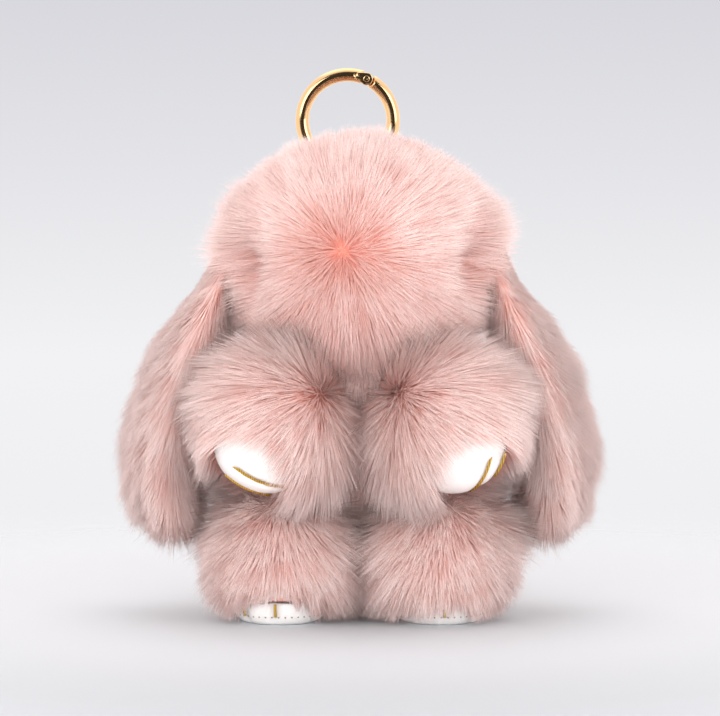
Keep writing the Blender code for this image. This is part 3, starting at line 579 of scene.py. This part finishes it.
def comb_head(root, normal):
    """Fur lies away from the muzzle's middle, all the way over the crown and down the back. It is
    short in the sockets and on the crown, and long on the chin, the cheeks and by the ears."""
    middle = head_middle()
    whorl = middle + np.array([MUZZLE_X, -40 * MM, MUZZLE_RISE])
    away = root - whorl
    distance = np.linalg.norm(away, axis=1)
    ahead = root[:, 1] - middle[1]
    rise = root[:, 2] - middle[2]
    half = np.abs(root[:, 0])
    behind = ease(ahead, -10 * MM, 25 * MM)
    way = unit(away) - UP * (0.9 * behind)[:, None]
    flat = 0.55 + 0.75 * ease(distance, 4 * MM, 26 * MM)
    side = ease(half, 18 * MM, 34 * MM)
    crown = ease(rise, 12 * MM, 30 * MM)
    height = COAT_HEIGHT * (1.0 + 0.06 * side - 0.22 * crown)
    hollow = socket_share(np.arctan2(root[:, 0], -ahead) - 0.05, rise, 0.22)
    height = height * (1 - 0.45 * hollow)
    chin = np.linalg.norm(root - whorl + UP * 16 * MM, axis=1)
    # painted shade: deeper coral in the sunken sockets, under the muzzle and where the fur parts
    # round the muzzle's middle, over a pale coral base tint
    coral = 0.08 + 0.4 * bell(distance, WHORL_SHADE_RADIUS) + 0.6 * hollow + 0.2 * bell(chin, 16 * MM)
    low = ease(-rise, 9 * MM, 22 * MM) * (1 - behind)
    beard = low * bell(root[:, 0], 17 * MM)
    cheek = low * ease(half, 14 * MM, 24 * MM)
    way = way - UP * (1.2 * beard)[:, None] + unit(root * SIDEWAYS) * (0.5 * cheek)[:, None]
    flat = flat + beard
    by_ears = ease(half, 24 * MM, 33 * MM) * bell(rise - 2 * MM, 12 * MM)
    height = height * (1 + 0.7 * beard + 0.8 * cheek) * (1 + 0.35 * by_ears)
    under = ease(-rise, 25 * MM, 32 * MM)
    return way, flat, height, coral, 1 - 0.6 * under


def head():
    """The head's pelt and coat."""
    rings = head_rings()
    pelt("head_pelt", "bunny", rings, ("head_fur", "head_stuffing"))
    coat("head", "bunny", rings, comb_head, seed=11)


# Torso and tail


def torso_rings():
    """Level ellipses whose size and middle follow smooth runs up the body, pushed out of the
    hollows that the limbs turn in along each limb's own outward direction."""
    low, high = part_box("torso_fur")
    stops = (0.0, 0.05, 0.22, 0.46, 0.70, 0.88, 1.0)
    # half-width, half-depth and the middle's place along Y, in millimetres
    sizes = (
        (16.0, 14.4, 7.5),
        (20.4, 17.6, 7.5),
        (27.6, 20.4, 7.5),
        (28.6, 21.2, 7.3),
        (25.6, 18.8, 4.6),
        (20.4, 14.9, -0.6),
        (17.2, 12.8, -4.0),
    )
    share = np.concatenate([[0.0, 0.004, 0.015], np.linspace(0.03, 1, 60)])
    run = smooth_run(share, stops, np.array(sizes) * MM)
    run[0, :2] -= 1.2 * MM  # rounds the edge of the rump
    half_x, half_y, middle_y = run[:, :1], run[:, 1:2], run[:, 2:]
    level = low.z + 0.3 * MM + share[:, None] * (high.z - low.z - 1.2 * MM)
    turn = turns(96)
    rings = points_of(half_x * np.cos(turn), middle_y + half_y * np.sin(turn), level)
    flat = rings.reshape(-1, 3)
    for limb in limbs():
        gap, out = capsule_gap(flat, *limb)
        flat = flat + out * np.maximum(LIMB_ROOM + PELT_INSET - gap, 0)[:, None]
    return flat.reshape(rings.shape)


def comb_torso(root, normal):
    """Fur lies down and a little outward, longer on the chest; none grows in the hollows round the
    limbs or under the head."""
    outward = root * np.array([1.0, 1.0, 0.0])
    way = unit(outward) * 0.35 - UP
    hollow = np.full(len(root), 1.0)
    for limb in limbs():
        gap, _ = capsule_gap(root, *limb)
        hollow = np.minimum(hollow, ease(gap, 1.4 * MM, 3 * MM))
    neck = 1 - ease(root[:, 2], 84 * MM, 90 * MM)
    chest = ease(-root[:, 1], -8 * MM, 4 * MM)
    height = COAT_HEIGHT * (0.55 + 0.45 * hollow + 0.4 * chest)
    # painted shade: deeper coral on the fur beside the hollows round the limbs, over a pale coral
    # base tint
    coral = 0.15 + 0.25 * (1 - hollow)
    return way, np.full(len(root), 1.05), height, coral, hollow * neck


def torso():
    """The torso's pelt and coat."""
    rings = torso_rings()
    pelt("torso_pelt", "bunny", rings, ("torso_fur", "torso_stuffing"))
    coat("torso", "bunny", rings, comb_torso, seed=21)


def comb_tail(root, normal):
    """Fur stands out all round the pompom, a little drooping; none grows where it is sewn on."""
    every = np.ones(len(root))
    keep = ease(root[:, 1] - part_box("tail_pompom")[0].y, 0.5 * MM, 5 * MM)
    return -UP * every[:, None], 0.35 * every, 0.92 * COAT_HEIGHT * every, 0.08 * every, keep


def tail():
    """The round pompom behind."""
    low, high = (np.array(corner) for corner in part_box("tail_pompom"))
    size = (high - low) / 2 - PELT_INSET
    rings = (low + high) / 2 + ball_grid(28, 40, last=math.pi - 0.02) * size
    pelt("tail_pelt", "bunny", rings, ("tail_pompom",))
    coat("tail", "bunny", rings, comb_tail, seed=31)


# Ears


def ear_middle(share, sign):
    """The ear's middle at a share of its length: out and behind as it hangs."""
    root = JOINTS["left_ear_flop" if sign < 0 else "right_ear_flop"]
    stops = (0.0, 0.09, 0.19, 0.32, 0.48, 0.64, 0.78, 0.90, 1.0)
    spread = (0.0, 0.06, 0.17, 0.40, 0.68, 0.89, 0.99, 0.97, 0.93)
    out = smooth_run(share, stops, np.array(spread)[:, None])[:, 0]
    x = root[0] + sign * EAR_SPREAD * out
    y = root[1] + EAR_SWEEP * np.sqrt(np.maximum(share, 0))
    return points_of(x, y, root[2] - EAR_LENGTH * share)


def ear_rings(sign):
    """Level ellipses down the ear, thin at the root and broad near the end, which is rounded by
    drawing the last rings in along a quarter circle."""
    stops = (EAR_TOP, 0.0, 0.09, 0.19, 0.32, 0.48, 0.64, 0.78, 0.90, 1.0)
    thick = (0.4, 0.85, 0.85, 1.0, 1.42, 1.85, 2.1, 2.1, 1.85, 1.3)
    wide = (0.28, 0.42, 0.57, 0.72, 0.87, 0.97, 1.0, 0.97, 0.84, 0.62)
    last = EAR_ROUNDING + (1 - EAR_ROUNDING) * np.sin(np.linspace(0.15, 1.5, 12))
    share = np.concatenate([np.linspace(EAR_TOP, EAR_ROUNDING, 70), last])
    sizes = smooth_run(share, stops, np.stack([thick, wide], axis=-1))
    past = np.maximum(share - EAR_ROUNDING, 0) / 0.0705
    round_end = np.sqrt(np.clip(1 - past**2, 0, 1))
    middle = ear_middle(share, sign)
    half_x = np.minimum(sizes[:, 0] * EAR_ROOT_RADIUS, EAR_HALF_THICKNESS) * round_end
    half_y = sizes[:, 1] * EAR_HALF_WIDTH * round_end
    turn = turns(64)
    x = middle[:, :1] + half_x[:, None] * np.cos(turn)
    y = middle[:, 1:2] + half_y[:, None] * np.sin(turn)
    return points_of(x, y, middle[:, 2:])


def comb_ear(sign):
    """How an ear's fur lies: down the ear and outward to its sides, very short at the root, where
    the head's fur covers it, and longest on its inner front edge, which meets the cheek."""

    def comb(root, normal):
        share = np.clip((JOINTS["left_ear_flop"][2] - root[:, 2]) / EAR_LENGTH, 0, 1)
        aside = (root - ear_middle(share, sign)) / EAR_HALF_WIDTH
        way = aside * np.array([0.4, 0.8, 0.0]) - UP + sign * 0.45 * SIDEWAYS
        low = ease(share, 0.75, 1.0)
        inner_front = ease(-sign * normal[:, 0], 0.2, 0.9) * ease(-normal[:, 1], 0.0, 0.8)
        grown = 0.12 + 0.85 * ease(share, 0.05, 0.36) + 0.9 * inner_front * ease(share, 0.2, 0.4)
        height = COAT_HEIGHT * grown * (1 - 0.08 * low)
        coral = 0.05 + 0.05 * (1 - ease(share, 0.0, 0.5))
        return way, 1.5 - 0.6 * low, height, coral, np.ones(len(root))

    return comb


def ears():
    """Both lop ears."""
    for k, (side, sign) in enumerate(SIDES.items()):
        rings = ear_rings(sign)
        pelt(f"ear_pelt_{side}", f"{side}_ear", rings, (f"ear_{side}",))
        coat(f"ear_{side}", f"{side}_ear", rings, comb_ear(sign), seed=41 + 10 * k)


# Arms and legs


def limb_rings(pivot, axes, root, belly, reach, last):
    """A tapered capsule: an arc round the root's ball, a straight run and an arc round the
    belly's ball down to the angle where the pad begins."""
    meet = math.pi / 2 - math.asin((belly - root) / reach)
    first = np.linspace(0.03, meet, 18)
    second = np.linspace(meet, last, 26)
    radius = np.concatenate([root * np.sin(first), belly * np.sin(second)])
    height = np.concatenate([root * np.cos(first), belly * np.cos(second) - reach])
    turn = turns(72)
    round_x, round_y = radius[:, None] * np.cos(turn), radius[:, None] * np.sin(turn)
    return pivot + points_of(round_x, round_y, height[:, None]) @ axes.T


def comb_arm(sign):
    """How an arm's fur lies: flat, away from its upper inner corner, and short where it is hidden
    behind. It is long on the inner side, where the two arms meet."""
    pivot, axes = arm_frame(sign)

    def comb(root, normal):
        belly = pivot - axes[:, 2] * ARM_REACH
        corner = belly + ARM_RADIUS * unit(np.array([-sign * 0.85, 0.05, 0.5]))
        away = root - corner
        near = bell(np.linalg.norm(away, axis=1), 15 * MM)
        hidden = ease(((root - pivot) @ axes)[:, 2], -6 * MM, 4 * MM)
        top = ease(normal[:, 2], 0.3, 0.9)
        outer = ease(sign * normal[:, 0], 0.3, 0.9)
        inner = ease(-sign * normal[:, 0], 0.3, 0.9)
        height = COAT_HEIGHT * (0.92 + 0.25 * top - 0.1 * outer + 0.4 * inner - 0.25 * hidden)
        # painted shade: deeper coral round the upper inner corner, where the fur parts, and on the
        # hidden back, over a pale coral base tint
        coral = 0.08 + 0.14 * near + 0.1 * hidden
        return unit(away) - UP * 0.15, np.full(len(root), 1.7), height, coral, 1 - 0.8 * hidden

    return comb


def arms():
    """Both arms' pelts and coats."""
    for k, (side, sign) in enumerate(SIDES.items()):
        pivot, axes = arm_frame(sign)
        last = math.pi - math.asin(ARM_PAD_RADIUS / ARM_RADIUS)
        sizes = (ARM_ROOT_RADIUS - PELT_INSET, ARM_RADIUS - PELT_INSET, ARM_REACH)
        rings = limb_rings(pivot, axes, *sizes, last)
        nodes = (f"arm_{side}_fur", f"arm_{side}_stuffing")
        pelt(f"arm_pelt_{side}", f"{side}_arm", rings, nodes)
        coat(f"arm_{side}", f"{side}_arm", rings, comb_arm(sign), seed=61 + 10 * k)


def comb_leg(sign):
    """How a leg's fur lies: forward over its top, then down and a little outward. It is long on
    the inner side, and short over the toes, more so on the left, which shows its sole."""
    pivot, _ = leg_frame(sign)
    toes = pivot + np.array([sign * 0.5 * MM, -LEG_RADIUS, -14.5 * MM])

    def comb(root, normal):
        aside = (root - pivot) * np.array([1.0, 0.6, 0.0]) / LEG_RADIUS
        rise = root[:, 2] - pivot[2]
        top = ease(rise, 4 * MM, 16 * MM)
        way = 0.4 * aside - UP - np.array([0.0, 1.2, 0.0]) * top[:, None]
        hidden = ease(root[:, 1] - pivot[1], 8 * MM, 17 * MM)
        low = ease(-rise, 4 * MM, 13 * MM)
        shoulder = ease(normal[:, 2], 0.15, 0.55) * (1 - ease(normal[:, 2], 0.75, 0.95))
        inner = ease(-sign * normal[:, 0], 0.3, 0.9)
        height = COAT_HEIGHT * (1.0 + 0.2 * shoulder + 0.35 * inner - 0.1 * low)
        from_toes = root - toes
        over_toes = bell(from_toes[:, 0], 11 * MM) * bell(from_toes[:, 2], 9 * MM)
        over_toes = over_toes * (from_toes[:, 1] < 9 * MM) * (0.95 if sign < 0 else 0.3)
        # painted shade: deeper coral on the hidden back of the leg, over a pale coral base tint
        coral = 0.08 + 0.1 * hidden
        return way, 1.0 + 0.8 * top, height * (1 - over_toes), coral, 1 - 0.1 * hidden

    return comb


def legs():
    """Both legs' pelts and coats."""
    for k, (side, sign) in enumerate(SIDES.items()):
        pivot, axes = leg_frame(sign)
        last = math.pi - math.asin(LEG_PAD_RADIUS / LEG_RADIUS)
        radius = LEG_RADIUS - PELT_INSET
        rings = limb_rings(pivot, axes, radius, radius, LEG_REACH, last)
        nodes = (f"leg_{side}_fur", f"leg_{side}_stuffing")
        pelt(f"leg_pelt_{side}", f"{side}_leg", rings, nodes)
        coat(f"leg_{side}", f"{side}_leg", rings, comb_leg(sign), seed=81 + 10 * k)


# Paw pads


def pinch(offsets, reach):
    """How far a pad is drawn in, 0 to 1, at each distance from its threads, past their start."""
    drawn = np.maximum(*(bell(offset, GROOVE_WIDTH) for offset in offsets))
    return drawn * ease(reach, -0.45, -0.2)


def hand_toe_axes(side, sign):
    """The way the toes point and the way across them, square to the arm, in its own frame."""
    _, axes = arm_frame(sign)
    down = axes.T @ -UP
    c, s = math.cos(HAND_TOE_TURN[side]), math.sin(HAND_TOE_TURN[side])
    toes = unit(np.array([down[0] * c - down[1] * s, down[0] * s + down[1] * c, 0.0]))
    return toes, np.cross(-UP, toes) * sign


def hand_pad(side, sign):
    """A domed cap on the arm's belly ball: its height over the ball is puff * (1 - edge^4), less a
    groove under each thread, and its back is a plain cap, the pad's wall further in. A row of
    stitches runs inside its rim."""
    pivot, axes = arm_frame(sign)
    rim = math.asin(ARM_PAD_RADIUS / ARM_RADIUS) - 1.5 * PAD_GAP / ARM_RADIUS
    fall = np.linspace(0.01, rim, 44)[:, None]
    toes, across = hand_toe_axes(side, sign)

    def cap(fall, turn):
        """Directions that lean away from straight down by fall, towards turn round the palm."""
        aside = np.cos(turn)[..., None] * toes + np.sin(turn)[..., None] * across
        return np.cos(fall)[..., None] * -UP + np.sin(fall)[..., None] * aside

    out = cap(fall, turns(110))
    offsets = [(out @ across - math.sin(angle)) * ARM_RADIUS for angle in HAND_TOE_ANGLES[side]]
    edge = fall / rim
    groove = pinch(offsets, out @ toes / math.sin(rim))
    front = ARM_RADIUS + (PAD_PUFF * (1 - 0.75 * groove) - 0.2 * MM) * (1 - edge**4)
    back = np.full(front.shape, ARM_RADIUS - PAD_WALL)
    local = np.concatenate([out * front[..., None], (out * back[..., None])[::-1]])
    points = pivot + (local - UP * ARM_REACH) @ axes.T
    name = f"hand_pad_skin_{side}"
    mesh = closed_skin(name, points)
    obj = place(name, mesh, f"{side}_arm", LEATHERETTE, (f"hand_pad_{side}",))

    count = int(2 * math.pi * ARM_RADIUS * math.sin(rim) / STITCH_SPACING)
    height = ARM_RADIUS + PAD_PUFF * (1 - STITCH_EDGE**4) - 0.12 * MM
    local = cap(np.full(count, rim * STITCH_EDGE), turns(count)) * height - UP * ARM_REACH
    stitches(f"hand_stitches_{side}", f"{side}_arm", pivot + local @ axes.T)


def stitches(name, body, spots):
    """A small bead of thread at each spot: a ball of 6 by 3 faces with flat ends."""
    bead = ball_grid(4, 6, last=math.pi - 0.02) * STITCH_RADIUS
    rows, columns = bead.shape[:2]
    points = spots[:, None] + bead.reshape(1, -1, 3)
    here = np.arange(rows * columns).reshape(rows, columns)
    beside = np.roll(here, -1, axis=1)
    quads = np.stack([here[1:], beside[1:], beside[:-1], here[:-1]], axis=-1).reshape(-1, 4)
    first = rows * columns * np.arange(len(spots))[:, None]
    faces = (quads[None] + first[..., None]).reshape(-1, 4).tolist()
    for end in (here[0], here[-1][::-1]):
        faces += (end[None] + first).tolist()
    mesh = bpy.data.meshes.new(name)
    mesh.from_pydata(points.reshape(-1, 3).tolist(), [], faces)
    return place(name, mesh, body, WAXED_THREAD)


def foot_pad(side, sign):
    """A flat sole with a round edge: its outline runs level to the sole's flat radius and then a
    quarter ellipse up to its rim; a groove under each thread draws the toes in."""
    pivot, _ = leg_frame(sign)
    low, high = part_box(f"foot_pad_{side}")
    rim = (high.x - low.x) / 2
    tall = high.z - low.z
    edge = rim + SOLE_BULGE - SOLE_FLAT_RADIUS
    curl = np.linspace(math.pi / 2, 0, 16)
    flat = np.linspace(0.3 * MM, SOLE_FLAT_RADIUS, 12)[:-1]
    radius = np.concatenate([flat, SOLE_FLAT_RADIUS + edge * np.cos(curl)])
    height = np.concatenate([0 * flat, tall * (1 - np.sin(curl))])
    turn = turns(110)
    groove = np.zeros(turn.shape)
    for angle in FOOT_TOE_ANGLES:
        apart = (turn - sign * angle + math.pi) % (2 * math.pi) - math.pi
        groove = np.maximum(groove, bell(apart * rim, GROOVE_WIDTH))
    drawn = ease(radius, SOLE_FLAT_RADIUS - 2 * MM, rim)[:, None] * groove[None]
    reach = radius[:, None] - SOLE_PINCH * drawn
    middle = np.array([pivot[0], pivot[1], low.z])

    def outline(reach, height):
        """Rings round the sole's middle, one at each height, as far out as reach."""
        return middle + points_of(reach * np.sin(turn), -reach * np.cos(turn), height[:, None])

    back = np.minimum(height[::-1] + PAD_WALL, tall - 0.2 * MM)
    points = np.concatenate([outline(reach, height), outline(0.85 * reach[::-1], back)])
    name = f"foot_pad_skin_{side}"
    mesh = closed_skin(name, points)
    obj = place(name, mesh, f"{side}_leg", LEATHERETTE, (f"foot_pad_{side}",))

    at = turns(int(2 * math.pi * rim / STITCH_SPACING))
    out = SOLE_FLAT_RADIUS + edge * math.cos(SOLE_STITCH_RISE)
    up = tall * (1 - math.sin(SOLE_STITCH_RISE))
    spots = middle + points_of(out * np.sin(at), -out * np.cos(at), up)
    stitches(f"foot_stitches_{side}", f"{side}_leg", spots)


def pads():
    """All four pads."""
    for side, sign in SIDES.items():
        hand_pad(side, sign)
        foot_pad(side, sign)


# Ring and strap


def ring_middle():
    """The ring's middle, which it turns about."""
    return JOINTS["ring_turn"]


def ring_point(angle, radius, across=0.0):
    """A point from its angle in the ring's plane, its distance from the ring's middle and Y."""
    return ring_middle() + points_of(radius * np.cos(angle), across, radius * np.sin(angle))


def ring_tube(start, end, start_hollow=0.0, end_hollow=0.0, dimple=None):
    """A round tube along the ring from start to end, with softened ends. An end can be hollowed by
    a cylinder about the hinge, so at height h over the tube's middle it stops sqrt(hollow^2 - h^2)
    from it. A dimple is the small dent of a drill in the tube's front."""
    rows = max(24, int(abs(end - start) * 40))
    along = np.linspace(0, 1, rows)[:, None]
    turn = turns(40)[None]
    edge = np.minimum(along, 1 - along) * abs(end - start) * RING_RADIUS
    inset = 1 - np.minimum(edge / TUBE_SOFTENING, 1)
    size = TUBE_RADIUS - TUBE_SOFTENING * (1 - np.sqrt(np.clip(1 - inset**2, 0, 1)))
    rise = size * np.cos(turn)

    def stop(angle, hollow):
        """The angle at which an end stops, at each height over the tube's middle."""
        if not hollow:
            return angle + 0 * rise
        back = np.sqrt(np.maximum(hollow**2 - rise**2, 0)) / RING_RADIUS
        return HINGE_ANGLE + math.copysign(1, angle - HINGE_ANGLE) * back

    angle = stop(start, start_hollow) * (1 - along) + stop(end, end_hollow) * along
    across = size * np.sin(turn)
    if dimple is not None:
        far = np.hypot((angle - dimple) * RING_RADIUS, rise)
        across = across + DIMPLE_DEPTH * bell(far, DIMPLE_RADIUS) * (across < 0)
    return ring_point(angle, RING_RADIUS + rise, across)


def plate_rings(outline, near, far, soft=0.25 * MM):
    """A flat plate across Y: the outline drawn in by a soft edge at both faces."""
    middle = outline.mean(0)
    inward = unit(outline - middle)
    across = np.array([near, near + 0.3 * soft, near + soft, far - soft, far - 0.3 * soft, far])
    share = np.array([1.0, 0.3, 0.0, 0.0, 0.3, 1.0])
    drawn = outline - inward * soft * share[:, None, None]
    return drawn + points_of(0.0, across, 0.0)[:, None]


def drop_outline(round_radius, end_half, end_reach):
    """A drop in the ring's plane: a half circle about the hinge that narrows to a flat end along
    the ring."""
    hinge = ring_point(HINGE_ANGLE, RING_RADIUS)
    along = np.array([-math.sin(HINGE_ANGLE), 0.0, math.cos(HINGE_ANGLE)])
    outward = np.array([math.cos(HINGE_ANGLE), 0.0, math.sin(HINGE_ANGLE)])
    side = math.copysign(1, end_reach)
    turn = np.linspace(-math.pi / 2, math.pi / 2, 28)[:, None]
    nose = round_radius * (np.sin(turn) * outward - side * np.cos(turn) * along)
    sag = end_reach**2 / (2 * RING_RADIUS)
    share = np.linspace(0.1, 1, 8)[:, None]
    half = round_radius + (end_half - round_radius) * share
    spine = share * end_reach * along - share**2 * sag * outward
    top, bottom = spine + half * outward, spine - half * outward
    return hinge + np.concatenate([nose, top, bottom[::-1]])


def ring():
    """The ring's body with its two cheeks, the gate with its tang, and the pin through them."""
    body_end = 2 * math.pi + GATE_TIP_ANGLE - 0.5 * MM / RING_RADIUS
    body_start = HINGE_ANGLE + 0.1
    tube = ring_tube(body_start, body_end, start_hollow=2.35 * MM, dimple=HINGE_ANGLE + 0.24)
    place("ring_tube", closed_skin("ring_tube", tube), "ring", GOLD, ("ring_body",))
    for name, sign in (("front", -1.0), ("back", 1.0)):
        outline = drop_outline(CHEEK_RADIUS, 1.1 * MM, 3.6 * MM)
        near, far = sorted((sign * CHEEK_INSIDE, sign * (TUBE_RADIUS + 0.05 * MM)))
        cheek = closed_skin(f"ring_cheek_{name}", plate_rings(outline, near, far))
        place(f"ring_cheek_{name}", cheek, "ring", GOLD)

    gate = ring_tube(HINGE_ANGLE - 0.1, GATE_TIP_ANGLE, start_hollow=2.6 * MM)
    place("gate_tube", closed_skin("gate_tube", gate), "gate", GOLD, ("ring_gate",))
    outline = drop_outline(TANG_RADIUS, 1.2 * MM, -4.2 * MM)
    tang = closed_skin("gate_tang", plate_rings(outline, -TANG_HALF_WIDTH, TANG_HALF_WIDTH))
    place("gate_tang", tang, "gate", GOLD)

    # the rivet's outline, radius and distance from its middle, in millimetres
    head = ((0.35, 2.32), (0.75, 2.34), (0.98, 2.28), (1.08, 2.18), (1.02, 2.06), (0.65, 2.04))
    profile = np.array([(0.1, 2.22), *head]) * MM
    profile = np.concatenate([profile, profile[::-1] * np.array([1, -1])])
    turn = turns(28)
    out, across = profile[:, :1], profile[:, 1:]
    hinge = ring_point(HINGE_ANGLE, RING_RADIUS)
    rivet = hinge + points_of(out * np.cos(turn), across, out * np.sin(turn))
    pin = closed_skin("hinge_rivet", rivet)
    place("hinge_rivet", pin, "ring", GOLD, ("gate_hinge_pin",))


def strap():
    """A leather band sewn into the crown: its middle line rises from the crown, runs round the
    ring's tube and comes back, and its section is a rounded rectangle."""
    low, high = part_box("hanging_strap")
    middle_y, middle_x = (low.y + high.y) / 2, (low.x + high.x) / 2
    outer = (high.y - low.y) / 2 - STRAP_THICKNESS / 2
    eye_z = high.z - outer - STRAP_THICKNESS / 2
    open_turn = math.radians(24)
    turn = np.linspace(open_turn, 2 * math.pi - open_turn, 60)
    eye = np.stack([outer * np.sin(turn), eye_z - outer * np.cos(turn)], axis=-1)
    foot = np.array([STRAP_THICKNESS / 2, low.z + 0.1 * MM])
    rise = np.linspace(0, 1, 12)[:, None]
    first = foot + (eye[0] - foot) * rise
    first[:, 0] = foot[0] + (eye[0, 0] - foot[0]) * ease(rise[:, 0], 0.3, 1.1)
    last = first[::-1] * np.array([-1, 1])
    line = np.concatenate([first[:-1], eye, last[1:]])
    along = unit(np.gradient(line, axis=0))
    across = np.stack([along[:, 1], -along[:, 0]], axis=-1)
    corner = np.stack([np.cos(turns(32)), np.sin(turns(32))])
    section = np.sign(corner) * np.abs(corner) ** STRAP_SQUARENESS
    flat, thick = section[0] * STRAP_WIDTH / 2, section[1] * STRAP_THICKNESS / 2
    y, z = line[:, :1] + across[:, :1] * thick, line[:, 1:] + across[:, 1:] * thick
    band = closed_skin("strap_loop", points_of(middle_x + flat, middle_y + y, z))
    place("strap_loop", band, "strap", LEATHER, ("hanging_strap",))


def carried_over():
    """The part's own pieces that stay as they are, with their finishes."""
    finishes = {"gate_spring": STEEL, "strap_tail": LEATHER, "strap_button": PLASTIC}
    for side in SIDES:
        for paw in ("hand", "foot"):
            for n in (1, 2):
                finishes[f"{paw}_{side}_thread_{n}"] = GOLD_THREAD
    for name, finish in finishes.items():
        frame["nodes"][name].material_slots[0].material = finish


# Studio


def sweep():
    """A pale floor that fades into the backdrop's own shade."""
    turn = turns(96)
    radius = np.array([0.02, 0.1, 0.3, 0.6, 1.0])[:, None]
    top = points_of(radius * np.cos(turn), radius * np.sin(turn), 0.0)
    mesh = closed_skin("studio_floor", np.concatenate([top, (top - UP * 10 * MM)[::-1]]))
    made, tree, shader = finish_of("floor_paper", Roughness=0.7, Base_Color=linear("#D3D8DC"))
    where = node(tree, "TexCoord").outputs["Object"]
    far = node(tree, "VectorMath", {0: where}, operation="LENGTH").outputs["Value"]
    span = {"Value": far, "From Min": 0.06, "From Max": 0.36, "To Min": 1.0, "To Max": 0.0}
    fade = node(tree, "MapRange", span, interpolation_type="SMOOTHSTEP")
    tree.links.new(fade.outputs[0], shader.inputs["Alpha"])
    mesh.materials.append(made)
    floor = bpy.data.objects.new("studio_floor", mesh)
    bpy.context.scene.collection.objects.link(floor)


def softbox(name, spot, size, power):
    """A square area light that faces the bunny."""
    light = bpy.data.lights.new(name, "AREA")
    light.energy = power
    light.size = size
    obj = bpy.data.objects.new(name, light)
    bpy.context.scene.collection.objects.link(obj)
    obj.location = spot
    aim(obj, (0.0, 0.0, 0.08))
    return obj


def aim(obj, target):
    """Turn a light or a camera, whose own -Z looks ahead, to the target."""
    obj.rotation_euler = (Vector(target) - obj.location).to_track_quat("-Z", "Y").to_euler()


def backdrop():
    """The studio round the bunny: a backdrop that shades from pale at its foot to pale grey above,
    and for light a soft white room that is dark straight in front of the bunny."""
    world = bpy.data.worlds.new("studio")
    bpy.context.scene.world = world
    world.use_nodes = True
    tree = world.node_tree
    tree.nodes.clear()
    way = node(tree, "TexCoord").outputs["Generated"]
    rise = node(tree, "SeparateXYZ", {0: way}).outputs[2]
    level = node(tree, "MapRange", {"Value": rise, "From Min": -0.3, "From Max": 0.3})
    ramp = node(tree, "ValToRGB", {0: level.outputs[0]})
    shades = {0.0: "#E6E6EA", 0.33: "#F0F0F2", 0.385: "#F2F2F4", 0.5: "#DFDFE4", 0.55: "#D7D7DD"}
    shades[1.0] = "#CFCFD6"
    elements = ramp.color_ramp.elements
    while len(elements) < len(shades):
        elements.new(0.5)
    for element, (at, code) in zip(elements, shades.items()):
        element.position = at
        element.color = linear(code)
    ahead = node(tree, "VectorMath", {0: way, 1: (0.0, -0.985, 0.17)}, operation="DOT_PRODUCT")
    span = {"From Min": 0.55, "From Max": 0.85, "To Min": 1.6, "To Max": 0.06}
    span["Value"] = ahead.outputs["Value"]
    dark = node(tree, "MapRange", span, interpolation_type="SMOOTHSTEP").outputs[0]
    room = node(tree, "Background", {"Color": linear("#E4DCDB"), "Strength": dark}).outputs[0]
    seen = node(tree, "Background", {"Color": ramp.outputs[0]}).outputs[0]
    direct = node(tree, "LightPath").outputs["Is Camera Ray"]
    mixed = node(tree, "MixShader", {0: direct, 1: room, 2: seen})
    node(tree, "OutputWorld", {"Surface": mixed.outputs[0]})


def studio():
    """Floor, backdrop, four softboxes and the camera. The low softbox doesn't show in the gold."""
    sweep()
    backdrop()
    softbox("key_softbox", (-0.8, -1.15, 0.62), 0.8, 6.0)
    softbox("fill_softbox", (0.95, -1.0, 0.5), 0.8, 5.0)
    softbox("top_softbox", (0.0, 0.4, 1.0), 1.0, 2.0)
    low = softbox("low_softbox", (0.0, -1.25, 0.15), 1.0, 17.0)
    low.visible_glossy = False
    camera = bpy.data.cameras.new("camera")
    camera.lens = 187
    camera.clip_start = 0.05
    obj = bpy.data.objects.new("camera", camera)
    bpy.context.scene.collection.objects.link(obj)
    elevation = math.radians(4)
    middle = (0.0, 0.0, 82 * MM)
    away = 1.2
    obj.location = (0.0, -away * math.cos(elevation), middle[2] + away * math.sin(elevation))
    aim(obj, middle)
    bpy.context.scene.camera = obj
    bpy.context.scene.view_settings.view_transform = "Standard"


studio()
head()
torso()
tail()
ears()
arms()
legs()
pads()
ring()
strap()
carried_over()
